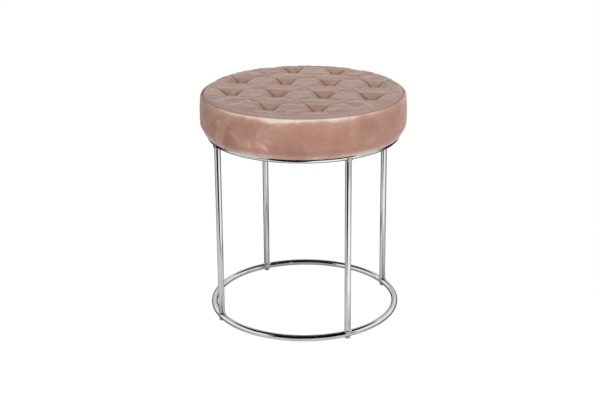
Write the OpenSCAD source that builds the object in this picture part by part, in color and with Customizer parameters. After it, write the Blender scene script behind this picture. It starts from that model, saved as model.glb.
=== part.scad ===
// Round stool: a deep-buttoned seat on a welded frame of two rings and four legs.
// Millimetres, +Z up. The origin is on the floor under the middle of the stool.
// The front is towards -Y, between two of the legs.

/* [Frame] */
// How far the middle of the upper ring lies inside the belly of the seat
ring_inset = 18; // [14:0.5:26]
// How far the lower ring stands out beyond the upper ring
leg_splay = 2; // [0:0.5:30]
// Height of the frame, from the floor to the top of the upper ring
frame_h = 371.5; // [300:0.5:520]
// Outside diameter of the ring and leg tubes
tube_d = 12; // [10:0.5:16]
// Wall of the ring and leg tubes
tube_wall = 1.2; // [0.8:0.1:2]
// Throat of the weld fillets
weld_size = 2; // [1:0.1:3]
// Diameter of the vents that let the plating bath drain from the rings into the legs
vent_d = 4; // [3:0.5:6]

/* [Foot glides] */
// Diameter of the glides under the lower ring
glide_d = 10.5; // [9:0.5:14]
// How far the glides hold the lower ring off the floor
glide_h = 3.5; // [2:0.1:8]
// Diameter of the holes in the lower ring that the glide stems snap into
glide_hole_d = 5; // [4:0.1:6]

/* [Seat fixing] */
// Width of the four mounting tabs inside the upper ring
tab_w = 24; // [18:1:30]
// Thickness of the mounting tabs
tab_t = 3; // [2:0.1:4]
// Diameter of the seat screws
screw_d = 6; // [5:0.5:8]
// Length of the seat screws under the head
screw_l = 16; // [13:0.5:19]

/* [Seat] */
// Widest diameter of the seat, on the belly of its side
seat_d = 400; // [390:1:420]
// Height of the side band, from the frame to the seam
band_h = 74.5; // [60:0.5:110]
// Height of the pillows above the seam
crown_h = 6.5; // [4:0.5:14]
// Radius of the band's lower edge, where it turns under the board
lower_round = 22; // [16:0.5:26]
// Radius of the band's upper edge, where it turns in to the seam
upper_round = 5.5; // [5:0.5:9]
// Thickness of the velvet cover
cover_t = 1.5; // [1:0.1:2]
// Thickness of the plywood seat board
board_t = 12; // [10:0.5:18]
// Thickness of the dust cover under the seat
dust_t = 0.5; // [0.4:0.1:1]

/* [Tufts] */
// Distance from the seam to the outermost tufts, measured along the rows
margin_across = 60.2; // [53.5:0.1:66.5]
// Distance from the seam to the outermost row of tufts
margin_along = 52.2; // [44.5:0.1:57.5]
// Turn of the tuft rows away from the front
row_turn = 10; // [0:0.5:12]
// Depth of the tufts under the tops of the pillows
tuft_drop = 18; // [12:0.5:24]
// Depth of the pleats where two of them cross
pleat_drop = 3; // [2:0.5:8]
// Diameter of the covered buttons in the tufts
button_d = 8; // [6:0.5:10]
// Diameter of the twine that holds a button down
twine_d = 1.6; // [1:0.1:3]

/* [Hidden] */

$fn = 96;
// Overrun of every cut
over = 1;
// Clearance of a soft piece from the piece beside it
soft_gap = 0.3;
// Clearance of a metal or plastic piece in its hole
fit_gap = 0.05;
// Play of the seat screws in the holes of the tabs, and of the twines in the board
screw_play = 0.6;
twine_play = 1.2;

// Directions of the legs, and of the tabs between them
front_right_turn = -45;
back_right_turn = 45;
back_left_turn = 135;
front_left_turn = 225;
leg_turns = [front_right_turn, back_right_turn, back_left_turn, front_left_turn];
tab_turns = [0, 90, 180, 270];

// Frame
tube_r = tube_d / 2;
bore_r = tube_r - tube_wall;
seat_r = seat_d / 2;
upper_r = seat_r - ring_inset;
lower_r = upper_r + leg_splay;
lower_z = glide_h + tube_r;
upper_z = frame_h - tube_r;
leg_lean = atan((lower_r - upper_r) / (upper_z - lower_z));
leg_l = norm([lower_r - upper_r, upper_z - lower_z]);
// A leg's end is cut square at this height above the ring's middle, then fitted to the ring
saddle_share = 0.25;
saddle_h = saddle_share * tube_r;
// How far a weld stands out beside the ring
weld_side = 0.4 * weld_size;

// Foot glides
glide_edge = 0.8;
glide_lip = 1.2;
stem_r = glide_hole_d / 2 - fit_gap;
barb_out = 0.5;
barb_r = stem_r + barb_out;
barb_h = 1.8;
barb_tip_r = 0.6 * stem_r;

// Seat fixing
dust_gap = 4;
dust_r = upper_r - tube_r - dust_gap;
dust_lap = 10;
hem_r = dust_r - dust_lap;
screw_r = hem_r - tab_w / 2;
tab_stop = tube_r / 3;
tab_top = frame_h - dust_t;
screw_hole_d = screw_d + screw_play;
washer_d = 2 * screw_d;
washer_t = 1.6;
head_d = 1.75 * screw_d;
head_h = 0.6 * screw_d;
head_edge = head_h / 4;
socket_d = 0.75 * screw_d;
nut_flange_d = 3.2 * screw_d;
nut_flange_t = 1.2;
nut_wall = 1.2;
nut_barrel_d = screw_d + 2 * nut_wall;
nut_barrel_h = 0.75 * board_t;

// Side of the seat, from the frame up to the seam
seam_z = frame_h + band_h;
crest_z = seam_z + crown_h;
side_belly = 1;
side_lean = 1.2;
side_low_z = frame_h + lower_round;
side_top_z = seam_z - upper_round;
function side_r(t) = seat_r - side_belly * (1 - sin(180 * t)) + side_lean * (0.5 - t);
low_turn_r = side_r(0) - lower_round;
seam_r = side_r(1) - upper_round;
seam_gap = 0.2;
seam_allowance = 8;
arc_steps = 8;
side_steps = 6;

// Board
board_ease = 1.5;
board_r = low_turn_r + board_ease;
board_z = frame_h + cover_t;
board_top = board_z + board_t;
twine_hole_d = twine_d + 2 * twine_play;
anchor_d = 14;
anchor_t = 1.2;

// Quilted top. The pleats cross on a lattice of diamonds, six cells each way less the
// corner cells, and every second crossing is a tuft. Lattice places are (u, v), where
// whole numbers from -3 to 3 are pleats, and the outermost ones run into the seam.
panel_r = seam_r - seam_gap;
foam_hole_d = 8;
button_r = button_d / 2;
button_dome = 0.45 * button_r;
button_band = 0.12 * button_r;
// Room round a button on the flat bottom of its tuft
button_room = 0.5;
// Share of the panel's radius over which the pillows slope down to the seam
edge_share = 0.057;
// Exponents that round the pillows, the pleats and the edge: higher is tighter
pillow_power = 4;
pleat_power = 1.6;
edge_power = 2;
cells = 6;
last = cells - 1;
half = cells / 2;
inner = half - 1;
// The outermost tufts are this many half pitches from the middle
outer = 2 * inner - 1;
pitch_across = 2 * (panel_r - margin_across) / outer;
pitch_along = 2 * (panel_r - margin_along) / outer;
// Share of a pleat that lies on the flat bottom of its tuft, enough on the shortest pleat,
// which runs from an outermost tuft to the seam
short_pleat = norm(on_seam(flat_place(half, 1 - inner)) - flat_place(inner, 1 - inner));
floor_share = (button_r + button_room) / short_pleat;
// Share of a pleat, counted from its tuft, where the mesh has its points
step_shares = [0, floor_share, 0.23, 0.55, 1];
steps = len(step_shares) - 1;

function lerp(a, b, t) = a + (b - a) * t;
function arc_points(c, r, from, to) =
    [for (k = [0 : arc_steps]) c + r * [cos(lerp(from, to, k / arc_steps)),
                                       sin(lerp(from, to, k / arc_steps))]];

// Outline of the seat's side, set in by a wall: the lower round, the belly, the upper round
function low_arc(wall, from) =
    arc_points([low_turn_r, side_low_z], lower_round - wall, from, 0);
function side_line(wall) =
    [for (k = [1 : side_steps - 1]) [side_r(k / side_steps) - wall,
                                     lerp(side_low_z, side_top_z, k / side_steps)]];
function top_arc(wall, to) =
    arc_points([seam_r, side_top_z], upper_round - wall, 0, to);
function side_outline(wall, from, to) =
    concat(low_arc(wall, from), side_line(wall), top_arc(wall, to));
function flipped(list) = [for (k = [len(list) - 1 : -1 : 0]) list[k]];

// Share of a cell for step a of the mesh along one side, beside step b along the other.
// The steps are closer together towards the cell's two tufts, and the first step from a
// tuft goes square to the edge of its flat bottom.
function near_step(k) = step_shares[k];
function far_step(k) = 1 - step_shares[steps - k];
function beside_tuft(a, b, tuft_first) =
    (a == 1 || a == steps - 1) && (tuft_first ? a == b : a == steps - b);
function cell_share(a, b, tuft_first) =
    let (crossed = beside_tuft(a, b, tuft_first) ? round(b / steps) : b / steps)
    tuft_first ? lerp(near_step(a), far_step(a), crossed)
               : lerp(far_step(a), near_step(a), crossed);
function tuft_at(k, l) = (k + l) % 2 != 0;
function inside(k, l) = abs(k) <= inner && abs(l) <= inner;

// Lattice place of mesh point (i, j)
function lattice(i, j) =
    let (ci = floor(i / steps), cj = floor(j / steps),
         a = i % steps, b = j % steps,
         first = tuft_at(ci - half, cj - half))
    [ci - half + cell_share(a, b, first), cj - half + cell_share(b, a, first)];

// Flat place of a lattice place, and the same drawn out so that the lattice fills the round
function flat_place(u, v) = [(u + v) * pitch_across / 2, (u - v) * pitch_along / 2];
function on_seam(p) = p * panel_r / norm(p);
function corner_pull(u, v) =
    let (corner = flat_place(inner * sign(u), inner * sign(v)),
         share = max(abs(u) - inner + 1, 0) * max(abs(v) - inner + 1, 0))
    share > 0 ? share * (on_seam(corner) - corner) : [0, 0];
function drawn_place(u, v) = flat_place(u, v) + corner_pull(u, v);
function place(u, v) =
    let (past = max(abs(u), abs(v)) - inner,
         from = abs(u) > abs(v) ? [inner * sign(u), v] : [u, inner * sign(v)],
         to = abs(u) > abs(v) ? [half * sign(u), v] : [u, half * sign(v)])
    past <= 0 ? drawn_place(u, v)
    : min(abs(u), abs(v)) == inner ? on_seam(lerp(flat_place(from[0], from[1]),
                                                  flat_place(to[0], to[1]), past))
    : lerp(drawn_place(from[0], from[1]), on_seam(flat_place(to[0], to[1])), past);

// Depth of the quilting under the tops of the pillows. A pleat runs from the flat bottom of
// its tuft up to the crossing, and each pillow is a dome between four pleats.
function on_floor(u, v) =
    max([for (k = [floor(u), floor(u) + 1], l = [floor(v), floor(v) + 1])
         tuft_at(k, l) && inside(k, l) && max(abs(u - k), abs(v - l)) < 1.01 * floor_share
         ? 1 : 0]);
function along_pleat(t) = 1 - max(t - floor_share, 0) / (1 - floor_share);
function tuft_pull(u, v) =
    max([for (k = [floor(u), floor(u) + 1], l = [floor(v), floor(v) + 1])
         tuft_at(k, l) && inside(k, l)
         ? pow(max(along_pleat(abs(u - k)) * along_pleat(abs(v - l)), 0), pleat_power) : 0]);
function dome(t) = 1 - pow(abs(2 * (t - floor(t)) - 1), pillow_power);
function quilt_depth(u, v) =
    on_floor(u, v) > 0 ? tuft_drop
    : lerp(pleat_drop, tuft_drop, tuft_pull(u, v)) * (1 - dome(u) * dome(v));
function edge_weight(r) =
    pow(max(1 - (panel_r - r) / (edge_share * panel_r), 0), edge_power);
function quilt_point(i, j, shift) =
    let (uv = lattice(i, j), p = place(uv[0], uv[1]))
    [p[0], p[1],
     crest_z - shift - lerp(quilt_depth(uv[0], uv[1]), crown_h, edge_weight(norm(p)))];

// Mesh rows: the first and last rows are shorter, because the corner cells are left out
function row_is_long(j) = j >= steps && j <= (cells - 1) * steps;
function row_first(j) = row_is_long(j) ? 0 : steps;
function row_last(j) = row_is_long(j) ? cells * steps : (cells - 1) * steps;
short_row = (cells - 2) * steps + 1;
long_row = cells * steps + 1;
function row_start(j) =
    min(j, steps) * short_row
    + max(min(j - steps, short_row), 0) * long_row
    + max(j - steps - short_row, 0) * short_row;
function point_index(i, j) = row_start(j) + i - row_first(j);
mesh_places = [for (j = [0 : cells * steps]) for (i = [row_first(j) : row_last(j)]) [i, j]];
function in_mesh(ci, cj) = (ci > 0 && ci < last) || (cj > 0 && cj < last);
function quad_faces(i, j, first) =
    let (p = point_index(i, j), q = point_index(i + 1, j),
         r = point_index(i + 1, j + 1), s = point_index(i, j + 1))
    first ? [[p, q, r], [p, r, s]] : [[p, q, s], [q, r, s]];
sheet_faces =
    [for (ci = [0 : last], cj = [0 : last]) if (in_mesh(ci, cj))
     for (a = [0 : steps - 1], b = [0 : steps - 1])
     each quad_faces(ci * steps + a, cj * steps + b, tuft_at(ci - half, cj - half))];
// Corners of the mesh's rim in cells, in order
rim_corners = [[1, 0], [last, 0], [last, 1], [cells, 1], [cells, last], [last, last],
               [last, cells], [1, cells], [1, last], [0, last], [0, 1], [1, 1]];
rim_run = [for (k = [0 : len(rim_corners) - 1])
           let (a = rim_corners[k] * steps, b = rim_corners[(k + 1) % len(rim_corners)] * steps,
                length = norm(b - a))
           for (m = [0 : length - 1]) let (c = lerp(a, b, m / length)) point_index(c[0], c[1])];

// Tufts: every second crossing of the pleats that lies inside the round
tuft_places = [for (k = [-inner : inner], l = [-inner : inner])
               if (tuft_at(k, l)) flat_place(k, l)];
tuft_z = crest_z - tuft_drop;
// Underside of the buttons, on the flat bottoms of the tufts
button_z = tuft_z + soft_gap;

// Closed block between two meshes of the quilted top
module quilted_block(upper, lower)
{
    count = len(upper);
    rim = len(rim_run);
    rim_faces = [for (k = [0 : rim - 1])
                 let (p = rim_run[k], q = rim_run[(k + 1) % rim])
                 each [[p, q, q + count], [p, q + count, p + count]]];
    under_faces = [for (f = sheet_faces) [f[0] + count, f[1] + count, f[2] + count]];
    polyhedron(points = concat(upper, lower),
               faces = concat([for (f = sheet_faces) flipped(f)], under_faces,
                              [for (f = rim_faces) flipped(f)]));
}

module around(turns)
{
    for (turn = turns) rotate([0, 0, turn]) children();
}

module at_tufts()
{
    rotate([0, 0, row_turn])
        for (p = tuft_places) translate(p) children();
}

module ring_bar(r, z)
{
    translate([0, 0, z]) rotate_extrude() translate([r, 0]) circle(r = tube_r);
}

module ring_tube(r, z)
{
    translate([0, 0, z]) rotate_extrude() translate([r, 0]) difference()
    {
        circle(r = tube_r);
        circle(r = bore_r);
    }
}

// Frame of reference of a leg: its foot on the middle of the lower ring, its axis up the leg
module along_leg()
{
    translate([lower_r, 0, lower_z]) rotate([0, -leg_lean, 0]) children();
}

module leg(turn)
{
    color("gainsboro") rotate([0, 0, turn]) difference()
    {
        along_leg() translate([0, 0, saddle_h]) difference()
        {
            cylinder(r = tube_r, h = leg_l - 2 * saddle_h);
            translate([0, 0, -over]) cylinder(r = bore_r, h = leg_l + 2 * over);
        }
        ring_bar(lower_r, lower_z);
        ring_bar(upper_r, upper_z);
    }
}

// One weld round the end of a leg, in the leg's frame with the ring's middle at zero
module weld_collar()
{
    rotate_extrude() difference()
    {
        translate([tube_r, saddle_h]) square([weld_size, tube_r + weld_size - saddle_h]);
        translate([tube_r + weld_size, tube_r + weld_size]) circle(r = weld_size);
    }
}

// Welds are no wider than the ring that they run onto
module weld_limit(r, z)
{
    translate([0, 0, z]) rotate_extrude()
        translate([r - tube_r - weld_side, -2 * tube_d])
            square([tube_d + 2 * weld_side, 4 * tube_d]);
}

module lower_ring()
{
    color("gainsboro") difference()
    {
        ring_tube(lower_r, lower_z);
        around(leg_turns) translate([lower_r, 0, lower_z])
        {
            cylinder(d = vent_d, h = tube_d);
            translate([0, 0, -tube_d]) cylinder(d = glide_hole_d, h = tube_d);
        }
    }
}

module upper_ring()
{
    color("gainsboro") difference()
    {
        ring_tube(upper_r, upper_z);
        around(leg_turns) translate([upper_r, 0, upper_z - tube_d])
            cylinder(d = vent_d, h = tube_d);
    }
}

module leg_front_left() { leg(front_left_turn); }

module leg_front_right() { leg(front_right_turn); }

module leg_back_left() { leg(back_left_turn); }

module leg_back_right() { leg(back_right_turn); }

module lower_welds()
{
    color("silver") around(leg_turns) difference()
    {
        intersection()
        {
            along_leg() weld_collar();
            weld_limit(lower_r, lower_z);
        }
        ring_bar(lower_r, lower_z);
    }
}

module upper_welds()
{
    color("silver") around(leg_turns) difference()
    {
        intersection()
        {
            along_leg() translate([0, 0, leg_l]) mirror([0, 0, 1]) weld_collar();
            weld_limit(upper_r, upper_z);
        }
        ring_bar(upper_r, upper_z);
    }
}

// Flat tab with a round inner end about its screw hole, fitted to the ring
module mounting_tabs()
{
    color("gainsboro") around(tab_turns) difference()
    {
        translate([0, 0, tab_top - tab_t]) linear_extrude(tab_t) difference()
        {
            union()
            {
                translate([screw_r, -tab_w / 2]) square([upper_r - tab_stop - screw_r, tab_w]);
                translate([screw_r, 0]) circle(d = tab_w);
            }
            translate([screw_r, 0]) circle(d = screw_hole_d);
        }
        ring_bar(upper_r, upper_z);
    }
}

// Bead in the corner between the underside of a tab and the ring
module tab_welds()
{
    tab_low = tab_top - tab_t;
    rise = tab_low - upper_z;
    toe_r = upper_r - sqrt(tube_r * tube_r - rise * rise);
    bead_angle = 2 * asin(tab_w / 2 / toe_r);
    color("silver") around(tab_turns)
        rotate([0, 0, -bead_angle / 2]) rotate_extrude(angle = bead_angle) difference()
        {
            polygon([[toe_r - weld_size, tab_low], [upper_r, tab_low],
                     [upper_r, tab_low - weld_size], [toe_r - weld_side / 2, tab_low - weld_size]]);
            translate([upper_r, upper_z]) circle(r = tube_r);
        }
}

// Glide with a saddle for the ring and a barbed stem through the ring's wall
module foot_glide(turn)
{
    wall_top = glide_h + tube_wall;
    color("dimgray") rotate([0, 0, turn])
    {
        difference()
        {
            translate([lower_r, 0, 0]) rotate_extrude()
                polygon([[0, 0], [glide_d / 2 - glide_edge, 0], [glide_d / 2, glide_edge],
                         [glide_d / 2, glide_h + glide_lip], [0, glide_h + glide_lip]]);
            ring_bar(lower_r, lower_z);
        }
        translate([lower_r, 0, 0]) rotate_extrude()
            polygon([[0, glide_edge], [stem_r, glide_edge], [stem_r, wall_top + soft_gap],
                     [barb_r, wall_top + soft_gap], [barb_tip_r, wall_top + barb_h + soft_gap],
                     [0, wall_top + barb_h + soft_gap]]);
    }
}

module foot_glide_front_left() { foot_glide(front_left_turn); }

module foot_glide_front_right() { foot_glide(front_right_turn); }

module foot_glide_back_left() { foot_glide(back_left_turn); }

module foot_glide_back_right() { foot_glide(back_right_turn); }

// Plywood disc with eased edges, holes for the twines and recessed holes for the tee nuts
module seat_board()
{
    color("burlywood") difference()
    {
        translate([0, 0, board_z]) rotate_extrude()
            polygon([[0, 0], [board_r - board_ease, 0], [board_r, board_ease],
                     [board_r, board_t - board_ease], [board_r - board_ease, board_t],
                     [0, board_t]]);
        at_tufts() translate([0, 0, board_z - over])
            cylinder(d = twine_hole_d, h = board_t + 2 * over);
        around(tab_turns) translate([screw_r, 0, board_z])
        {
            translate([0, 0, -over]) cylinder(d = nut_barrel_d + 2 * fit_gap, h = board_t + 2 * over);
            translate([0, 0, board_t - nut_flange_t])
                cylinder(d = nut_flange_d + 2 * fit_gap, h = nut_flange_t + over);
        }
    }
}

module seat_foam()
{
    shift = cover_t + soft_gap;
    top = [for (m = mesh_places) quilt_point(m[0], m[1], shift)];
    color("khaki") difference()
    {
        rotate([0, 0, row_turn])
            quilted_block(top, [for (p = top) [p[0], p[1], board_top]]);
        at_tufts() translate([0, 0, board_top - over])
            cylinder(d = foam_hole_d, h = crest_z - board_top);
    }
}

// Soft filling between the board, the foam and the side band
module side_wadding()
{
    wall = cover_t + soft_gap;
    foam_side = panel_r + soft_gap;
    flange_side = seam_r + wall;
    low_x = (board_r + soft_gap - low_turn_r) / (lower_round - wall);
    top_x = wall / (upper_round - wall);
    color("whitesmoke") rotate_extrude()
        polygon(concat(side_outline(wall, -acos(low_x), acos(top_x)),
                       [[flange_side, seam_z - seam_allowance - soft_gap],
                        [foam_side, seam_z - seam_allowance - soft_gap],
                        [foam_side, board_top - soft_gap],
                        [board_r + soft_gap, board_top - soft_gap]]));
}

// Velvet side, from its hem under the board up to the seam and its turned-in allowance
module side_band()
{
    top_x = cover_t / (upper_round - cover_t);
    color("rosybrown") rotate_extrude()
        polygon(concat([[hem_r, frame_h]],
                       side_outline(0, -90, 90),
                       [[seam_r, seam_z - seam_allowance],
                        [seam_r + cover_t, seam_z - seam_allowance]],
                       flipped(side_outline(cover_t, -90, acos(top_x))),
                       [[hem_r, frame_h + cover_t]]));
}

// Velvet top, pleated into diamonds and drawn down at the tufts
module tufted_top()
{
    color("rosybrown") difference()
    {
        rotate([0, 0, row_turn])
            quilted_block([for (m = mesh_places) quilt_point(m[0], m[1], 0)],
                          [for (m = mesh_places) quilt_point(m[0], m[1], cover_t)]);
        at_tufts() translate([0, 0, tuft_z - tuft_drop])
            cylinder(d = twine_d + 2 * soft_gap, h = 2 * tuft_drop);
    }
}

// Covered buttons with a flat back, a short band and a dome
module tuft_buttons()
{
    color("rosybrown") at_tufts() translate([0, 0, button_z]) rotate_extrude()
        polygon(concat([[0, 0], [button_r, 0]],
                       [for (k = [0 : arc_steps])
                        [button_r * cos(90 * k / arc_steps),
                         button_band + button_dome * sin(90 * k / arc_steps)]]));
}

module tuft_twines()
{
    color("white") at_tufts() translate([0, 0, board_z])
        cylinder(d = twine_d, h = button_z - board_z);
}

// Discs under the board that the twines are knotted to
module tuft_anchors()
{
    color("ivory") at_tufts() translate([0, 0, board_z - anchor_t])
        cylinder(d = anchor_d, h = anchor_t);
}

module tee_nuts()
{
    color("darkgray") around(tab_turns) translate([screw_r, 0, board_top]) difference()
    {
        union()
        {
            translate([0, 0, -nut_flange_t]) cylinder(d = nut_flange_d, h = nut_flange_t);
            translate([0, 0, -nut_flange_t - nut_barrel_h])
                cylinder(d = nut_barrel_d, h = nut_barrel_h + nut_flange_t);
        }
        translate([0, 0, -board_t]) cylinder(d = screw_d + 2 * fit_gap, h = board_t + over);
    }
}

module seat_screws()
{
    seat_z = tab_top - tab_t - washer_t;
    color("lightgray") around(tab_turns) translate([screw_r, 0, seat_z]) difference()
    {
        union()
        {
            cylinder(d = screw_d, h = screw_l);
            rotate_extrude()
                polygon([[0, 0], [head_d / 2, 0], [head_d / 2, -head_h + head_edge],
                         [head_d / 2 - head_edge, -head_h], [0, -head_h]]);
        }
        translate([0, 0, -head_h - over]) cylinder(d = socket_d, h = head_h / 2 + over, $fn = 6);
    }
}

module screw_washers()
{
    color("lightgray") around(tab_turns)
        translate([screw_r, 0, tab_top - tab_t - washer_t]) difference()
        {
            cylinder(d = washer_d, h = washer_t);
            translate([0, 0, -over]) cylinder(d = screw_d + 2 * fit_gap, h = washer_t + 2 * over);
        }
}

// Thin black fabric that hides the underside of the board, over the hem of the side band
module dust_cover()
{
    color("black") difference()
    {
        translate([0, 0, tab_top]) cylinder(r = dust_r, h = dust_t);
        around(tab_turns) translate([screw_r, 0, tab_top - over])
            cylinder(d = screw_hole_d, h = dust_t + 2 * over);
    }
}

lower_ring();
upper_ring();
leg_front_left();
leg_front_right();
leg_back_left();
leg_back_right();
lower_welds();
upper_welds();
mounting_tabs();
tab_welds();
foot_glide_front_left();
foot_glide_front_right();
foot_glide_back_left();
foot_glide_back_right();
seat_board();
seat_foam();
side_wadding();
side_band();
tufted_top();
tuft_buttons();
tuft_twines();
tuft_anchors();
tee_nuts();
seat_screws();
screw_washers();
dust_cover();
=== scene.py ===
"""Round stool with a deep-tufted velvet seat on a welded frame of chromed tube.

The seat is a plywood board under a foam block, with soft wadding round its side, a velvet
side band and a velvet top that is pleated into diamonds and drawn down at twelve buttons.
"""

import math

import bpy
import numpy as np
from bpy.props import BoolProperty, FloatProperty, FloatVectorProperty, IntProperty
from bpy.props import PointerProperty
from mathutils import Matrix, Vector


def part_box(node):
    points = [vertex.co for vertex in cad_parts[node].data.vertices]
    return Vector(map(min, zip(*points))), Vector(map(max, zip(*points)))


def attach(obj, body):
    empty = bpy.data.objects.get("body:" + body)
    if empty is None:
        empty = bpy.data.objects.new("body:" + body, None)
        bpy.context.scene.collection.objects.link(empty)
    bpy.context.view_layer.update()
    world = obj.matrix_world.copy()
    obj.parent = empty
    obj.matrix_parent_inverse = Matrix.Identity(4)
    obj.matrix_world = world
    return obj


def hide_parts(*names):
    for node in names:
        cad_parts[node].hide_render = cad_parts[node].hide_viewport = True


bl_info = {
    "name": "Tufted Round Stool",
    "version": (1, 0, 0),
    "blender": (4, 5, 0),
    "location": "3D View > Sidebar > Stool",
    "description": "Builds a round stool with a deep-tufted velvet seat on a chromed frame",
    "category": "Add Mesh",
}

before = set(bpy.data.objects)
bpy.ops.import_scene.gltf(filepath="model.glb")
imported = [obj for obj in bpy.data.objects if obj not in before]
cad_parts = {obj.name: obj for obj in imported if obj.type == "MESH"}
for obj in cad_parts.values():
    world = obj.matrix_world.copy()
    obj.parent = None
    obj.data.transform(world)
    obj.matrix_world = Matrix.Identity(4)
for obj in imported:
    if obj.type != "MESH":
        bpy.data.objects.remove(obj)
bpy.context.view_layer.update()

MM = 0.001
BODY = "root"
# How far round from the stool's front the photo was taken. The camera stands there, and what the
# chrome reflects is laid out from there.
CAMERA_TURN = math.radians(18.5)


# Sizes read from the frame

def node_top(node):
    """Height of a node's highest point, in metres."""
    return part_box(node)[1][2]


def node_base(node):
    """Height of a node's lowest point, in metres."""
    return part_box(node)[0][2]


def node_radius(node):
    """Reach of a node that lies round the stool's middle, in metres."""
    low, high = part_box(node)
    return max(high[0], high[1], -low[0], -low[1])


FRAME_TOP = node_top("upper_ring")
SEAM_HEIGHT = node_top("side_band")
CREST_HEIGHT = node_top("tufted_top")
PANEL_RADIUS = node_radius("tufted_top")


# Colours

def hex_colour(code):
    """Linear colour of an sRGB hex code such as "#C08A7A", with alpha 1."""
    values = [int(code[k:k + 2], 16) / 255 for k in (1, 3, 5)]
    linear = [v / 12.92 if v <= 0.04045 else ((v + 0.055) / 1.055) ** 2.4 for v in values]
    return (*linear, 1.0)


WHITE = hex_colour("#FFFFFF")


def colour_property(name, description, code):
    """Colour setting whose default is an sRGB hex code."""
    return FloatVectorProperty(name=name, description=description, subtype="COLOR", size=3,
                               min=0, max=1, default=hex_colour(code)[:3])


def length_property(name, description, millimetres, low=0.0, high=1000.0):
    """Length setting, with its default and limits given in millimetres."""
    return FloatProperty(name=name, description=description, subtype="DISTANCE", unit="LENGTH",
                         default=millimetres * MM, min=low * MM, max=high * MM, precision=4)


class StoolVelvet(bpy.types.PropertyGroup):
    """Sizes and colours of the velvet cover."""

    colour: colour_property("Velvet", "Colour of the pile seen straight on", "#B58D7E")
    crushed_and_shade: colour_property("Crushed pile", "Colour where the pile is brushed away", "#996F5F")
    raised_and_highlight: colour_property("Raised pile", "Colour where the pile stands up and shows its tips", "#DCC9BE")
    # A grey sheen painted into the top's colour, strongest at the rim by the seam
    painted_sheen: colour_property("Grey sheen, painted", "Colour where the pile leans out over the seam", "#A5948B")
    # Painted shade deep in the folds at the tufts, where no light gets in
    painted_fold_shade: colour_property("Folds", "Colour deep in the folds at the tufts", "#5C4036")
    bloom: colour_property("Bloom", "Colour of the light that the pile's tips catch", "#E2E1DE")
    pleat_drop: length_property("Pleat depth", "Depth of the pleats where two of them cross", 1.7)
    fold_lip: length_property("Fold lip", "Step from one side of a pleat's fold to the other", 1.1)
    fold_lap: length_property("Fold lap", "How far a pleat's upper side laps over its lower side", 1.0)
    thickness: length_property("Thickness", "Thickness of the velvet with its backing", 1.5)
    button_width: length_property("Button width", "Diameter of the covered buttons", 8.0)
    seam_depth: length_property("Seam depth", "Depth of the groove at the seam", 3.2)
    seam_round: length_property("Seam rounding", "Rounding of the two edges at the seam", 2.4)
    gathers: IntProperty(name="Hem gathers", default=84, min=12, max=240,
                         description="Number of gathers round the hem under the seat")
    simulate: BoolProperty(name="Simulate cloth", default=True,
                           description="Let a cloth simulation puff and crease the pillows")


class StoolMetal(bpy.types.PropertyGroup):
    """Colours and counts of the frame and the hardware."""

    chrome: colour_property("Chrome", "Colour of the chrome plating", "#D6D6D5")
    zinc: colour_property("Zinc", "Colour of the zinc plated screws and nuts", "#B9BDC2")
    glide: colour_property("Glides", "Colour of the plastic glides", "#8C8E91")
    staples: IntProperty(name="Staples", description="Number of staples in the dust cover",
                         default=48, min=12, max=120)
    staple_width: length_property("Staple width", "Width of a staple's crown", 10.0)
    staple_wire: length_property("Staple wire", "Thickness of the staple wire", 0.9)


class StoolStudio(bpy.types.PropertyGroup):
    """Floor, lamps and camera."""

    lens: FloatProperty(name="Lens", description="Focal length of the camera", default=69.21,
                        min=10, max=300, subtype="DISTANCE_CAMERA")
    azimuth: FloatProperty(name="Azimuth", description="Turn of the camera round the stool",
                           default=CAMERA_TURN, subtype="ANGLE", unit="ROTATION")
    floor: colour_property("Floor", "Colour of the studio floor", "#F4F4F4")
    key_power: FloatProperty(name="Key lamp", description="Power of the large overhead lamp",
                             default=22.0, min=0, subtype="POWER", unit="POWER")


# Materials

def add_node(tree, kind, inputs=(), **settings):
    """Adds a node with its settings, and its inputs by name or in their order.

    An input is a value, one output of another node, or a node whose first output it takes.
    """
    node = tree.nodes.new(kind)
    for name, value in settings.items():
        setattr(node, name, value)
    for name, value in inputs.items() if isinstance(inputs, dict) else enumerate(inputs):
        if isinstance(value, bpy.types.Node):
            value = value.outputs[0]
        if isinstance(value, bpy.types.NodeSocket):
            tree.links.new(value, node.inputs[name])
        else:
            node.inputs[name].default_value = value
    return node


def new_material(name):
    """Material with an empty tree of nodes."""
    material = bpy.data.materials.new(name)
    material.use_nodes = True
    material.node_tree.nodes.clear()
    return material, material.node_tree


def end_material(tree, inputs):
    """Ends a material's tree in its surface shader, with those inputs."""
    shader = add_node(tree, "ShaderNodeBsdfPrincipled", inputs)
    add_node(tree, "ShaderNodeOutputMaterial", {"Surface": shader})


def rgba(colour):
    """Linear colour with alpha, of a hex code or of a colour setting."""
    return hex_colour(colour) if isinstance(colour, str) else (*colour, 1.0)


def layered_colour(tree, base, layers):
    """Base colour with others laid over it.

    Each layer has a value, where on it the layer begins and is full, its largest share and its
    colour.
    """
    first, second, mixed = 6, 7, 2
    colour = rgba(base)
    for value, begins, full, share, tone in layers:
        share = add_node(tree, "ShaderNodeMapRange", (value, begins, full, 0, share))
        mix = add_node(tree, "ShaderNodeMix", {"Factor": share, first: colour, second: rgba(tone)},
                       data_type="RGBA")
        colour = mix.outputs[mixed]
    return colour


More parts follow.
